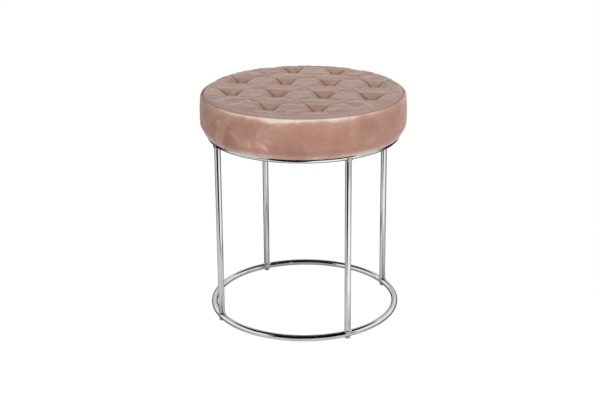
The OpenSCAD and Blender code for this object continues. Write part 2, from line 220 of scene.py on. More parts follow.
def make_velvet(settings):
    """Cotton velvet, woven and sheared, with a short pile that brushes light and dark.

    Where the pile is brushed away it shows its deep dyed side, and where it stands up its paler
    tips, which also catch the light at a glancing angle. The attribute nap holds how it was
    brushed, with painted shade and painted highlights added; lean holds a grey sheen painted
    over the seam and the top, and fold painted shade where the folds at the tufts close.
    """
    material, tree = new_material("Velvet, dusty rose")
    place = add_node(tree, "ShaderNodeTexCoord").outputs["Object"]
    streaky = add_node(tree, "ShaderNodeMapping", {"Vector": place, "Scale": (1, 5, 5)})
    brushed, lean, fold = [add_node(tree, "ShaderNodeAttribute", attribute_name=name).outputs["Fac"]
                           for name in ("nap", "lean", "fold")]
    # Patches of pile lie differently over 30 to 60 mm, and fingers leave streaks 4 mm wide. The
    # pile's own grain is 0.3 mm wide, drawn at 1 mm so that it shows. Each pattern has its place,
    # width in millimetres, detail, roughness, distortion, half the range of values that it uses,
    # and its weight.
    patterns = (
        (place, 42, 4, 0.55, 0.6, 0.16, 0.55),
        (streaky, 22, 7, 0.68, 0.3, 0.2, 0.6),
        (place, 1, 2, 0.7, 0.0, 0.25, 0.3),
    )
    noises = []
    for vector, width, detail, roughness, distortion, half, weight in patterns:
        noises.append(add_node(tree, "ShaderNodeTexNoise", {
            "Vector": vector, "Scale": 1 / (width * MM), "Detail": detail,
            "Roughness": roughness, "Distortion": distortion}))
        centred = add_node(tree, "ShaderNodeMapRange",
                           (noises[-1], 0.5 - half, 0.5 + half, -0.5, 0.5))
        brushed = add_node(tree, "ShaderNodeMath", (centred, weight, brushed),
                           operation="MULTIPLY_ADD")
    down, even, raised_and_highlight = -0.9, 0.8, 2.0
    # The crushed colour also serves as painted shade and the raised colour as painted highlight; lean lays
    # on a painted grey sheen, fold painted shade
    colour = layered_colour(tree, settings.crushed_and_shade, (
        (brushed, down, even, 1, settings.colour),
        (brushed, even, raised_and_highlight, 1, settings.raised_and_highlight),
        (lean, 0, 1, 0.75, settings.painted_sheen),
        (fold, 0, 1, 0.9, settings.painted_fold_shade),
    ))
    dull = add_node(tree, "ShaderNodeMapRange", (brushed, down, even, 0.95, 0.78))
    sheen = add_node(tree, "ShaderNodeMapRange", (brushed, -2.6, -0.7, 0.4, 1))
    fuzz = add_node(tree, "ShaderNodeMath", (noises[1], 1.4, noises[2]), operation="MULTIPLY_ADD")
    relief = add_node(tree, "ShaderNodeBump", {"Height": fuzz, "Strength": 0.55,
                                               "Distance": 0.35 * MM})
    end_material(tree, {"Base Color": colour, "Roughness": dull, "Normal": relief,
                        "Sheen Weight": sheen, "Sheen Roughness": 0.3,
                        "Sheen Tint": rgba(settings.bloom), "Specular IOR Level": 0.25})
    return material


def make_hard(name, tones, patterns, tone_range, rough_range, roughness, relief, inputs):
    """Hard finish whose colour, roughness and relief follow patterns of noise.

    The patterns are for the colour, the roughness and the relief in turn, and may be the same.
    Each has its width in millimetres, detail, roughness, distortion and stretch. The relief has
    its depth in millimetres and its strength.
    """
    material, tree = new_material(name)
    place = add_node(tree, "ShaderNodeTexCoord").outputs["Object"]
    noises = {}
    for pattern in dict.fromkeys(patterns):
        width, detail, rough, distortion, stretch = pattern
        vector = add_node(tree, "ShaderNodeMapping", {"Vector": place, "Scale": stretch})
        noises[pattern] = add_node(tree, "ShaderNodeTexNoise", {
            "Vector": vector, "Scale": 1 / (width * MM), "Detail": detail, "Roughness": rough,
            "Distortion": distortion})
    clouds, grain, ripple = [noises[pattern] for pattern in patterns]
    colour = layered_colour(tree, tones[0], ((clouds, *tone_range, 1, tones[1]),))
    dull = add_node(tree, "ShaderNodeMapRange",
                    (grain, rough_range[0], rough_range[1], roughness[0], roughness[1]))
    normal = add_node(tree, "ShaderNodeBump", {"Height": ripple, "Distance": relief[0] * MM,
                                               "Strength": relief[1]})
    end_material(tree, {"Base Color": colour, "Roughness": dull, "Normal": normal, **inputs})
    return material


def make_chrome(settings):
    """Bright chrome, plated over polished mild steel tube.

    A mirror with a slight haze from handling that varies over 40 mm, and fine polishing lines
    along the tube. Its tint at the edges darkens a round tube where it turns away.
    """
    haze = (38, 4, 0.6, 0.0, (1, 1, 1))
    polish = (2.5, 3, 0.6, 0.0, (1, 1, 0.15))
    return make_hard("Chrome plating, bright", (settings.chrome, "#C6C6C5"), (haze, haze, polish),
                     tone_range=(0.35, 0.7), rough_range=(0.3, 0.75), roughness=(0.015, 0.045),
                     relief=(0.02, 0.12),
                     inputs={"Metallic": 1, "Specular Tint": rgba("#303131")})


def make_weld(settings):
    """Fillet weld in mild steel, plated with the rest: bright, rippled, softer in its reflections."""
    ripple = (2.2, 3, 0.6, 0.4, (1, 1, 1))
    return make_hard("Chrome plating over welds", (settings.chrome, "#A7A9AC"), (ripple,) * 3,
                     tone_range=(0, 1), rough_range=(0.3, 0.7), roughness=(0.1, 0.24),
                     relief=(0.35, 0.6), inputs={"Metallic": 1})


def make_zinc(settings):
    """Bright zinc plated steel, rolled and stamped: greyer than chrome, with a fine grain."""
    clouds = (5, 3, 0.6, 0.0, (1, 1, 1))
    grain = (0.8, 4, 0.7, 0.0, (1, 1, 1))
    return make_hard("Zinc plated steel", (settings.zinc, "#9DA3AA"), (clouds, grain, grain),
                     tone_range=(0, 1), rough_range=(0.3, 0.7), roughness=(0.28, 0.42),
                     relief=(0.05, 0.4), inputs={"Metallic": 1})


def make_glide(settings):
    """Polyethylene, injection moulded: a soft waxy grey with scuffs from the floor."""
    scuffs = (1.5, 4, 0.65, 0.0, (1, 1, 1))
    return make_hard("Polyethylene, moulded grey", (settings.glide, "#A6A8AB"), (scuffs,) * 3,
                     tone_range=(0.35, 0.75), rough_range=(0.3, 0.8), roughness=(0.38, 0.6),
                     relief=(0.08, 0.4), inputs={"IOR": 1.51, "Subsurface Weight": 0.08,
                                                 "Subsurface Scale": 1 * MM})


def make_plywood():
    """Birch plywood, rotary cut and hot pressed: long pale grain on the faces, plies on the edge."""
    ply = 1.5 * MM
    waves_per_unit = 10
    material, tree = new_material("Birch plywood")
    place = add_node(tree, "ShaderNodeTexCoord").outputs["Object"]
    along = add_node(tree, "ShaderNodeMapping", {"Vector": place, "Scale": (0.12, 1, 1)})
    grain = add_node(tree, "ShaderNodeTexNoise", {"Vector": along, "Scale": 1 / (4 * MM),
                                                  "Detail": 6, "Roughness": 0.65,
                                                  "Distortion": 0.8})
    plies = add_node(tree, "ShaderNodeTexWave", {"Vector": place, "Distortion": 0.4,
                                                 "Scale": 0.5 / ply / waves_per_unit},
                     wave_type="BANDS", bands_direction="Z").outputs["Fac"]
    colour = layered_colour(tree, "#C9A26F", (
        (grain, 0, 1, 1, "#E2C79A"),
        (plies, 0.75, 0.95, 0.45, "#8F6A42"),
    ))
    dull = add_node(tree, "ShaderNodeMapRange", (grain, 0.2, 0.8, 0.55, 0.75))
    relief = add_node(tree, "ShaderNodeBump", {"Height": grain, "Distance": 0.15 * MM,
                                               "Strength": 0.5})
    end_material(tree, {"Base Color": colour, "Roughness": dull, "Normal": relief})
    return material


def make_soft(name, low, high, cell_mm, depth_mm, roughness):
    """Soft filling, cloth, twine or waxy plastic with cells or fibres of that width."""
    material, tree = new_material(name)
    place = add_node(tree, "ShaderNodeTexCoord").outputs["Object"]
    cells = add_node(tree, "ShaderNodeTexVoronoi", {"Vector": place, "Scale": 1 / (cell_mm * MM)})
    clouds = add_node(tree, "ShaderNodeTexNoise", {"Vector": place, "Scale": 1 / (30 * MM),
                                                   "Detail": 4, "Roughness": 0.6})
    share = add_node(tree, "ShaderNodeMath", (clouds, 0.8, cells), operation="MULTIPLY_ADD")
    relief = add_node(tree, "ShaderNodeBump", {"Height": cells, "Distance": depth_mm * MM,
                                               "Strength": 0.7})
    end_material(tree, {"Base Color": layered_colour(tree, low, ((share, 0.4, 1.3, 1, high),)),
                        "Roughness": roughness, "Normal": relief})
    return material


def make_materials(scene):
    """Every finish of the stool, by name."""
    metal = scene.stool_metal
    return {
        "velvet": make_velvet(scene.stool_velvet),
        "chrome": make_chrome(metal),
        "weld": make_weld(metal),
        "zinc": make_zinc(metal),
        "glide": make_glide(metal),
        "plywood": make_plywood(),
        # Polyurethane foam, poured as a block and sawn: cream, with open cells 1 mm wide
        "foam": make_soft("Polyurethane foam", "#E3CF97", "#F0E3BC", 1.0, 0.4, 0.95),
        # Polyester wadding, carded and bonded: white fibres in soft clumps 4 mm wide
        "wadding": make_soft("Polyester wadding", "#DEDEDA", "#F7F7F4", 4.0, 1.2, 0.98),
        # Polyester twine, twisted and waxed, strands 0.5 mm wide
        "twine": make_soft("Polyester twine", "#C9C3B2", "#E8E3D5", 0.5, 0.2, 0.7),
        # Nylon, injection moulded: off-white discs with a faint flow pattern 2 mm wide
        "anchor": make_soft("Nylon, moulded", "#D8D2BE", "#EBE6D6", 2.0, 0.05, 0.45),
        # Polypropylene cloth, spunbonded: black, with bonding dots 1.5 mm apart
        "dust_cloth": make_soft("Spunbonded cloth, black", "#121213", "#2A2A2C", 1.5, 0.15, 0.85),
    }


# Meshes

def finish_piece(piece, material_name, nodes=()):
    """Gives a piece its material, ties it to its body, and hides the nodes it stands for."""
    piece.data.materials.clear()
    piece.data.materials.append(MATERIALS[material_name])
    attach(piece, BODY)
    if nodes:
        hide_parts(*nodes)


def mesh_piece(name, points, faces):
    """New object at the origin, from points in metres and faces of corner numbers."""
    mesh = bpy.data.meshes.new(name)
    mesh.from_pydata([tuple(p) for p in np.asarray(points, float)], [], [tuple(f) for f in faces])
    mesh.update()
    mesh.polygons.foreach_set("use_smooth", [True] * len(mesh.polygons))
    piece = bpy.data.objects.new(name, mesh)
    bpy.context.collection.objects.link(piece)
    return piece


def store_values(piece, name, values):
    """Keeps one number for each point of a piece, for its material to read."""
    attribute = piece.data.attributes.new(name, "FLOAT", "POINT")
    attribute.data.foreach_set("value", np.asarray(values, np.float32))


def soft_noise(points, size, seed, octaves=3):
    """Smooth noise of about -1 to 1 at each point, with features of that size."""
    rng = np.random.default_rng(seed)
    total = np.zeros(len(points))
    waves, level = 10, 4.5
    weight = 1.0
    scale = 1.0 / size
    for _ in range(octaves):
        for _ in range(waves):
            direction = rng.normal(size=3)
            direction /= np.linalg.norm(direction)
            pace = scale * rng.uniform(0.6, 1.5)
            phase = rng.uniform(0, 2 * math.pi)
            total += weight * np.sin(2 * math.pi * pace * points @ direction + phase) / level
        weight *= 0.5
        scale *= 2.1
    return total


def polar(points):
    """Distance of points from the stool's middle line, and their direction round it."""
    return np.linalg.norm(points[..., :2], axis=-1), np.arctan2(points[..., 1], points[..., 0])


def bell(distance, reach):
    """Share that falls from 1 to 0 on either side, over about that reach."""
    return np.exp(-(distance / reach) ** 2)


def ramp(distance, width):
    """Share that rises from 0 to 1 over that width."""
    return np.clip(distance / width, 0, 1)


# Lattice of the quilted top, the same as the solid's, in millimetres. A lattice place (u, v)
# counts cells along the two runs of pleats from the middle, and every second one has a tuft.

ROW_TURN = math.radians(10)
HALF = 3
INNER = HALF - 1
PANEL_MM = PANEL_RADIUS / MM
# From the seam in to the outermost tufts, across the rows and along them
MARGIN_ACROSS = 60.2
MARGIN_ALONG = 52.2
TUFTS = [(k, l) for k in range(-INNER, INNER + 1) for l in range(-INNER, INNER + 1) if (k + l) % 2]
PITCH = 2 * (PANEL_MM - np.array([MARGIN_ACROSS, MARGIN_ALONG])) / (2 * INNER - 1)
CREST_MM = CREST_HEIGHT / MM
SEAM_MM = SEAM_HEIGHT / MM
CROWN_MM = CREST_MM - SEAM_MM
TUFT_DROP_MM = 18.0
RIM_SLOPE_MM = 11.0
# Length of a cell's side, which is a pleat, and the distance between two pleats of a run
PLEAT_MM = float(np.linalg.norm(PITCH)) / 2
ACROSS_MM = float(PITCH[0] * PITCH[1] / 2) / PLEAT_MM
# Divisions of a cell in the meshes of the cloth trial, the top and the foam
TRIAL_DIVISIONS = 12
TOP_DIVISIONS = 30
FOAM_DIVISIONS = 10


def flat_place(u, v):
    """Flat place of a lattice place."""
    return np.stack([(u + v) * PITCH[0] / 2, (u - v) * PITCH[1] / 2], -1)


def on_seam(p):
    """Point of the seam in the direction of p."""
    return p * PANEL_MM / np.linalg.norm(p, axis=-1, keepdims=True)


def drawn_place(u, v):
    """Flat place with the inner lattice's corners drawn out on to the seam."""
    corner = flat_place(INNER * np.sign(u), INNER * np.sign(v))
    share = np.maximum(np.abs(u) - INNER + 1, 0) * np.maximum(np.abs(v) - INNER + 1, 0)
    safe = np.where(share[..., None] > 0, corner, [[1.0, 0.0]])
    return flat_place(u, v) + share[..., None] * (on_seam(safe) - safe)


def lattice_place(u, v):
    """Place on the round panel of lattice places that lie in the mesh."""
    past = np.maximum(np.abs(u), np.abs(v)) - INNER
    by_u = np.abs(u) > np.abs(v)
    side_u = np.where(u < 0, -1.0, 1.0)
    side_v = np.where(v < 0, -1.0, 1.0)
    fu, fv = np.where(by_u, INNER * side_u, u), np.where(by_u, v, INNER * side_v)
    tu, tv = np.where(by_u, HALF * side_u, u), np.where(by_u, v, HALF * side_v)
    t = np.clip(past, 0, 1)[..., None]
    straight = flat_place(fu, fv) * (1 - t) + flat_place(tu, tv) * t
    outer = drawn_place(fu, fv) * (1 - t) + on_seam(flat_place(tu, tv)) * t
    at_corner = (np.minimum(np.abs(u), np.abs(v)) >= INNER - 1e-9)[..., None]
    outer = np.where(at_corner, on_seam(straight), outer)
    return np.where((past <= 0)[..., None], drawn_place(u, v), outer)


def tuft_centres():
    """Centres of the tufts in the stool's frame, in millimetres."""
    flat = np.array([flat_place(float(k), float(l)) for k, l in TUFTS])
    return turned(flat, ROW_TURN)


def turned(places, angle):
    """Places turned about the stool's middle."""
    c, s = math.cos(angle), math.sin(angle)
    return places @ np.array([[c, s], [-s, c]])


def lattice_grid(divisions):
    """Lattice places of a mesh with that many divisions a cell, closer together at the pleats.

    Returns the places, which of them are in the mesh, and the faces.
    """
    closeness = 0.72
    count = 2 * HALF * divisions + 1
    t = np.arange(count) / divisions
    warped = t - closeness * np.sin(2 * math.pi * t) / (2 * math.pi)
    u, v = np.meshgrid(warped - HALF, warped - HALF, indexing="ij")
    index = np.arange(count)
    outer = (index < divisions) | (index > (2 * HALF - 1) * divisions)
    inside = ~(outer[:, None] & outer[None, :])
    cell = index[:-1] // divisions
    outer_cell = (cell == 0) | (cell == 2 * HALF - 1)
    kept = ~(outer_cell[:, None] & outer_cell[None, :])
    number = np.full((count, count), -1)
    number[inside] = np.arange(inside.sum())
    i, j = np.nonzero(kept)
    faces = np.stack([number[i, j], number[i + 1, j], number[i + 1, j + 1], number[i, j + 1]], -1)
    return u, v, inside, faces[:, ::-1]


def pit_pull(u, v):
    """How much of the tufts' depth reaches a lattice place: 1 on a tuft's floor, 0 away from it.

    Each pit has four nearly flat walls, one on each pillow, that meet in its four pleats. Widths
    are shares of a cell.
    """
    floor, reach = 0.09, 0.57
    squareness, steepness = 1.25, 2.1
    bowl, bowl_width = 0.16, 0.42
    pull = np.zeros(u.shape)
    for k, l in TUFTS:
        away = (np.abs(u - k) ** squareness + np.abs(v - l) ** squareness) ** (1 / squareness)
        funnel = np.clip(1 - (away - floor) / (reach - floor), 0, 1) ** steepness
        pull = np.maximum(pull, (1 - bowl) * funnel + bowl * bell(away, bowl_width))
    return pull


def pleat_gaps(u, v):
    """Distances in millimetres from the nearest pleat line of either run, far away past the last."""
    lines = [(values, np.round(values)) for values in (u, v)]
    return [np.where(np.abs(line) <= INNER, np.abs(values - line), 0.5) * ACROSS_MM
            for values, line in lines]


def quilt_drop(u, v, pleat_drop):
    """Depth of the quilting under the tops of the pillows, in millimetres."""
    valley, line = 5.5, 1.6
    roundness, deepening = 2.4, 1.8
    gaps = pleat_gaps(u, v)
    pull = pit_pull(u, v)
    creases = [0.55 * np.exp(-gap / valley) + 0.45 * np.exp(-gap / line) for gap in gaps]
    crease = (creases[0] ** 3 + creases[1] ** 3) ** (1 / 3)
    domes = [np.clip(1 - 2 * gap / ACROSS_MM, 0, 1) ** roundness for gap in gaps]
    dome = 1 - (1 - domes[0]) * (1 - domes[1])
    shallow = (0.7 * crease * (1 + deepening * pull) + 0.3 * dome) * pleat_drop
    return shallow + (TUFT_DROP_MM - shallow) * pull


def edge_weight(radius):
    """How far the pillows have sloped down to the seam at a distance from the middle."""
    return np.clip(1 - (PANEL_MM - radius) / RIM_SLOPE_MM, 0, 1) ** 2


def quilt_shape(u, v, velvet):
    """Points of the quilted top before the cloth simulation, in millimetres, rows unturned."""
    place = lattice_place(u, v)
    share = edge_weight(polar(place)[0])
    drop = quilt_drop(u, v, velvet.pleat_drop / MM) * (1 - share) + CROWN_MM * share
    return np.concatenate([place, (CREST_MM - drop)[..., None]], -1)


def fold_pleats(shape, u, v, velvet):
    """Laps the front side of every pleat over its back side, which leaves a fold's thin dark line."""
    lip, lap = velvet.fold_lip / MM, velvet.fold_lap / MM
    flat_edge = 12.0
    front_reach, back_reach, lap_reach = 4.0, 2.4, 1.4
    weakest = 0.4
    pull = pit_pull(u, v)
    calm = 1 - np.clip(1 - (PANEL_MM - polar(shape)[0]) / flat_edge, 0, 1)
    on_tuft = ramp(pull - 0.8, 0.15)
    strength = (weakest + (1 - weakest) * np.clip(3 * pull, 0, 1)) * calm * (1 - on_tuft)
    normals = np.array([[PITCH[1], PITCH[0]], [PITCH[1], -PITCH[0]]]) / (2 * PLEAT_MM)
    for values, normal, front in ((u, normals[0], -1), (v, normals[1], 1)):
        line = np.round(values)
        away = (values - line) * ACROSS_MM * front
        weight = strength * (np.abs(line) <= INNER)
        rise = np.where(away >= -1e-6, 0.5 * lip * np.exp(-away / front_reach),
                        -0.5 * lip * np.exp(away / back_reach))
        slide = np.where(away >= -1e-6, lap * bell(np.maximum(away, 0), lap_reach), 0)
        shape[..., 2] += rise * weight
        shape[..., :2] -= (slide * weight)[..., None] * normal * front
    return shape


def gather_tufts(shape):
    """Radial folds where the velvet is drawn in down the walls of each pit, and their heights."""
    button, begin, reach = 4.5, 4.0, 19.0
    height = 0.75
    rng = np.random.default_rng(17)
    folds = np.zeros(shape.shape[:-1])
    for k, l in TUFTS:
        offset = shape[..., :2] - flat_place(float(k), float(l))
        distance, angle = polar(offset)
        waves = np.zeros(angle.shape)
        for count in (5, 8, 11, 15):
            waves += rng.uniform(0.25, 0.6) * np.sin(count * angle + rng.uniform(0, 2 * math.pi))
        rise = ramp(distance - button, begin) * bell(distance, reach)
        shape[..., 2] += height * waves * rise
        folds += waves * rise
    return shape, folds


def round_rim(shape, velvet):
    """Turns the rim down into the groove of the seam."""
    rounding = velvet.seam_round / MM
    radius, _ = polar(shape)
    edge = PANEL_MM - GROOVE
    gap = np.clip(edge - radius, 0, rounding)
    fall = rounding - np.sqrt(np.maximum(rounding ** 2 - (rounding - gap) ** 2, 0))
    shape[..., 2] -= fall
    over = np.maximum(radius - edge, 0)[..., None]
    shape[..., :2] -= shape[..., :2] / np.maximum(radius, 1)[..., None] * over
    return shape


def pucker_rim(shape):
    """Short creases that the seam draws into the rim."""
    reach, begin, height = 11.0, 3.0, 0.28
    radius, angle = polar(shape)
    wide = np.sin(61 * angle + 2 * np.sin(5 * angle))
    narrow = 0.7 * np.sin(97 * angle + 3 * np.sin(7 * angle))
    weight = bell(PANEL_MM - radius, reach) * ramp(PANEL_MM - radius, begin)
    shape[..., 2] += height * (wide + narrow) * weight
    return shape


def spread_values(values, divisions, finer):
    """Values of a coarse lattice grid at the points of a finer one, on smooth curves."""
    count = values.shape[0]
    t = np.arange(2 * HALF * finer + 1) * divisions / finer
    low = np.clip(np.floor(t).astype(int), 0, count - 2)
    f = t - low
    weights = np.zeros((len(t), count))
    rows = np.arange(len(t))
    parts = ((-1, -0.5 * f + f ** 2 - 0.5 * f ** 3), (0, 1 - 2.5 * f ** 2 + 1.5 * f ** 3),
             (1, 0.5 * f + 2 * f ** 2 - 1.5 * f ** 3), (2, -0.5 * f ** 2 + 0.5 * f ** 3))
    for shift, part in parts:
        np.add.at(weights, (rows, np.clip(low + shift, 0, count - 1)), part)
    return np.einsum("ai,ijk,bj->abk", weights, values, weights)


def puffed(velvet, divisions):
    """How the cloth moves when the foam presses it up between its pleats, in millimetres.

    The velvet is cut a little larger than the quilting, so it creases as it fills.
    """
    frames = 20
    farthest = 1.2
    sewn_edge, tied = 2.0, 9.0
    settings = {
        "quality": 6, "mass": 0.3, "tension_stiffness": 18, "compression_stiffness": 18,
        "shear_stiffness": 6, "bending_stiffness": 0.08, "air_damping": 3, "pin_stiffness": 4,
        "shrink_min": -0.015, "use_pressure": True, "uniform_pressure_force": 0.6,
        "vertex_group_mass": "held",
    }
    u, v, inside, faces = lattice_grid(divisions)
    shape = quilt_shape(u, v, velvet)
    start = shape[inside] * MM
    cloth = mesh_piece("cloth_trial", start, faces)
    held = np.maximum(pin_weight(u), pin_weight(v))
    held = np.maximum(held, (polar(shape)[0] > PANEL_MM - sewn_edge) * 1.0)
    for k, l in TUFTS:
        gap, _ = polar(shape[..., :2] - flat_place(float(k), float(l)))
        held = np.maximum(held, (gap < tied) * 1.0)
    group = cloth.vertex_groups.new(name="held")
    for number, weight in enumerate(held[inside]):
        group.add([number], float(weight), "REPLACE")
    modifier = cloth.modifiers.new("Cloth", "CLOTH")
    for name, value in settings.items():
        setattr(modifier.settings, name, value)
    modifier.settings.effector_weights.gravity = 0
    modifier.collision_settings.use_collision = False
    modifier.point_cache.frame_start = 1
    modifier.point_cache.frame_end = frames
    scene = bpy.context.scene
    for number in range(1, frames + 1):
        scene.frame_set(number)
    result = cloth.evaluated_get(bpy.context.evaluated_depsgraph_get())
    after = np.empty(len(start) * 3)
    result.data.vertices.foreach_get("co", after)
    moved = (after.reshape(-1, 3) - start) / MM
    scene.frame_set(1)
    bpy.data.objects.remove(cloth)
    length = np.linalg.norm(moved, axis=1, keepdims=True)
    moved *= farthest * np.tanh(length / farthest) / np.maximum(length, 1e-9)
    grid = np.zeros((*u.shape, 3))
    grid[inside] = moved
    return grid


def pin_weight(values):
    """How firmly the pleat lines hold the cloth, by distance from the line."""
    reach, firmest = 2.2, 0.9
    away = np.abs(values - np.round(values)) * ACROSS_MM
    inner_line = np.abs(np.round(values)) <= INNER
    return np.where(inner_line, np.clip(1 - away / reach, 0, 1) * firmest, 0)


def sheet_mesh(name, upper, lower, faces):
    """Closed sheet between an upper and a lower set of points that share their faces."""
    count = len(upper)
    edges = np.concatenate([faces[:, [k, (k + 1) % 4]] for k in range(4)])
    present = set(map(tuple, edges))
    rim = np.array([(a, b) for a, b in present if (b, a) not in present])
    rim = rim[np.lexsort((rim[:, 1], rim[:, 0]))]
    walls = np.stack([rim[:, 0], rim[:, 0] + count, rim[:, 1] + count, rim[:, 1]], -1)
    under = faces[:, ::-1] + count
    return mesh_piece(name, np.concatenate([upper, lower]), np.concatenate([faces, under, walls]))


def quilted_top(velvet, divisions, trial):
    """Points of the finished top in metres, its faces, its nap, and the painted shade of its
    folds.
    """
    wrinkle_width, wrinkle_height = 11.0, 0.16
    u, v, inside, faces = lattice_grid(divisions)
    shape = quilt_shape(u, v, velvet)
    if trial is not None:
        shape += spread_values(trial, TRIAL_DIVISIONS, divisions)
    shape = fold_pleats(shape, u, v, velvet)
    shape, folds = gather_tufts(shape)
    shape = pucker_rim(shape)
    shape = round_rim(shape, velvet)
    points = shape[inside]
    points[:, :2] = turned(points[:, :2], ROW_TURN)
    points[:, 2] += soft_noise(points * [0.35, 1, 1], wrinkle_width, 5, 2) * wrinkle_height
    nap = top_nap(points, u[inside], v[inside], folds[inside])
    return points * MM, faces, nap, top_fold_shade(u[inside], v[inside])


def top_nap(points, u, v, folds):
    """How the pile lies on the top, with painted shade in the creases and the pits and painted
    highlights on their rims.
    """
    rim_place, rim_width, painted_highlight_lift = 1.6, 1.3, 0.45
    crease_width, crease_widening, painted_shade_depth = 1.6, 3.4, 1.9
    nap = 0.22 * soft_noise(points, 70.0, 11) + 0.42 * soft_noise(points * [1, 1.4, 1], 12.0, 12, 4)
    # A little lighter towards the back of the stool
    nap += 0.45 * points[:, 1] * MM / PANEL_RADIUS
    pull = pit_pull(u, v)
    # Painted shade deep in the pits, slightly lighter where they begin, and lighter and darker along the
    # radial folds
    nap += 0.15 * np.clip(pull * 4, 0, 1) - 0.75 * ramp(pull - 0.3, 0.45) + 0.6 * folds
    broken = np.clip(0.65 + 0.5 * soft_noise(points, 9.0, 13, 2), 0.15, 1.2)
    near = np.clip(3.5 * pull, 0, 1)
    # Painted highlight on the front rim of every pleat and painted shade in the crease behind it,
    # strongest near the pits
    for values, front in ((u, -1), (v, 1)):
        line = np.round(values)
        away = (values - line) * ACROSS_MM * front
        strength = (0.22 * broken + 0.78 * near) * (np.abs(line) <= INNER)
        width = crease_width + crease_widening * near
        crease = np.where(away < 0, bell(away, width), 0)
        rim = bell(away - rim_place, rim_width)
        nap += strength * (painted_highlight_lift * rim - painted_shade_depth * crease)
    return nap


def top_painted_sheen(points):
    """Share of a grey sheen painted on the top: full at the rim by the seam, 0.4 elsewhere."""
    reach, least = 13.0, 0.4
    return np.maximum(bell(PANEL_MM - polar(points)[0], reach), least)


def top_fold_shade(u, v):
    """Painted shade where the tight folds at the tufts close over themselves and no light gets in.

    Two of them run out from each tuft, along two of its pleats. A run has its strength, and the
    middle and half of its length as shares of a cell.
    """
    widest, narrowing, front_width = 3.4, 3.6, 0.6
    fade = 0.12
    fold = np.zeros(u.shape)
    for k, l in TUFTS:
        runs = ((l - v, u - k, -1, 1.0, 0.30, 0.18), (u - k, v - l, 1, 0.6, 0.24, 0.12))
        for along, across, front, strength, middle, half in runs:
            behind = across * ACROSS_MM * front
            width = widest - narrowing * np.clip(along - 0.1, 0, 0.6)
            profile = np.where(behind < 0, bell(behind, width), bell(behind, front_width))
            reach = bell(np.clip(np.abs(along - middle) - half, 0, None), fade)
            fold = np.maximum(fold, strength * profile * reach * (np.abs(across) < 0.5))
    return fold


# Marks that hands left on the pile of the side, seen from the front. Each has its place round
# the seat in degrees from the front, its height from 0 to 1, its length in millimetres, its
# lean in degrees and how far it lifts the pile, with minus for pile that lies down.
HAND_MARKS = (
    (-36, 0.25, 15, 84, 1.5), (-33, 0.70, 13, 20, 1.2), (-26, 0.50, 30, 60, -0.8),
    (-27, 0.28, 22, 40, -1.3), (-38, 0.60, 14, 25, -0.9), (-20, 0.47, 14, -30, 0.9),
    (-6, 0.52, 24, 78, 0.8), (-2, 0.28, 16, -42, 1.2), (4, 0.80, 22, 15, 0.5),
    (-11, 0.35, 12, -60, 0.7), (0, 0.45, 10, -20, 0.8), (-13, 0.62, 20, 70, -0.4),
    (8, 0.50, 40, 30, -0.35), (44, 0.80, 26, 80, 0.45), (34, 0.50, 30, 85, -0.25),
    (57, 0.40, 26, 75, 0.4), (78, 0.52, 20, 88, 0.45), (68, 0.55, 18, 80, -0.3),
)


def hand_mark(angle, height, mark):
    """Change of the pile by one mark, with one crisp side and one that fades."""
    centre, level, size, lean, lift = mark
    crisp, soft, bow = 0.12 * size, 0.7 * size, 5 * size
    lean = math.radians(lean)
    offset = angle - math.radians(centre - 90)
    x = ((offset + math.pi) % (2 * math.pi) - math.pi) * SEAT_MM
    z = (height - level) * (SEAM_MM - FRAME_MM)
    along = x * math.cos(lean) + z * math.sin(lean)
    across = z * math.cos(lean) - x * math.sin(lean) + along ** 2 / bow
    fade = np.where(across > 0, bell(across, crisp), np.exp(np.minimum(across, 0) / soft))
    return lift * fade * bell(along, size)


def brush_marks(angle, height, seed, count):
    """Marks of hands all round a band of velvet, with those of the front in their places."""
    behind = (100, 330)
    rng = np.random.default_rng(seed)
    nap = sum(hand_mark(angle, height, mark) for mark in HAND_MARKS)
    for _ in range(count):
        centre = rng.uniform(*behind)
        lift = rng.uniform(0.25, 0.7) * rng.choice([-1, -1, 1])
        mark = (centre, rng.uniform(0.15, 0.9), rng.uniform(7, 26), rng.uniform(-75, 75), lift)
        nap += hand_mark(angle, height, mark)
    return nap


# Side of the seat, in millimetres. It follows the solid's outline, apart from the edge that hangs
# beside the ring.

SEAT_MM = node_radius("side_band") / MM
FRAME_MM = FRAME_TOP / MM
TUBE_MM = (node_top("upper_ring") - node_base("upper_ring")) / 2 / MM
RING_MM = node_radius("upper_ring") / MM - TUBE_MM
# The lower part tapers from this height above the ring to an edge that hangs beside the tube. The
# edge begins this far down round the tube, in degrees.
TAPER_HEIGHT = 17.0
TUBE_GAP = 0.4
EDGE_ROUND = 1.7
EDGE_ANGLE = 32.0
# The upper part turns over to the seam in two rounds, and ends inside its groove
UPPER_ROUND = 5.5
LIP_ROUND = 1.8
GROOVE = 0.35
SEAM_ALLOWANCE = 8.0
# Between the two the side bulges a little, and leans in towards the top
SIDE_BELLY = 1.0
SIDE_LEAN = 1.2
# Radius at which the hem ends under the board
HEM_MM = 162.0
# Room left between soft pieces, so that none cuts into another
SOFT_GAP = 0.3
TAPER_POINTS = 18
ARC_POINTS = 9
WADDING_COLUMNS = 180


def side_radius(t):
    """Radius of the side at a share of its height, from its taper up to its upper round."""
    return SEAT_MM - SIDE_BELLY * (1 - np.sin(math.pi * t)) + SIDE_LEAN * (0.5 - t)


def arc(centre, radius, start, end, count):
    """Points of an arc, angles in degrees."""
    angles = np.radians(np.linspace(start, end, count))
    return np.stack([centre[0] + radius * np.cos(angles), centre[1] + radius * np.sin(angles)], -1)


def edge_centre():
    """Centre of the round that the velvet takes where it hangs over the ring's outer side."""
    reach = TUBE_MM + TUBE_GAP + EDGE_ROUND
    angle = math.radians(EDGE_ANGLE)
    return RING_MM + reach * math.cos(angle), FRAME_MM - TUBE_MM + reach * math.sin(angle)


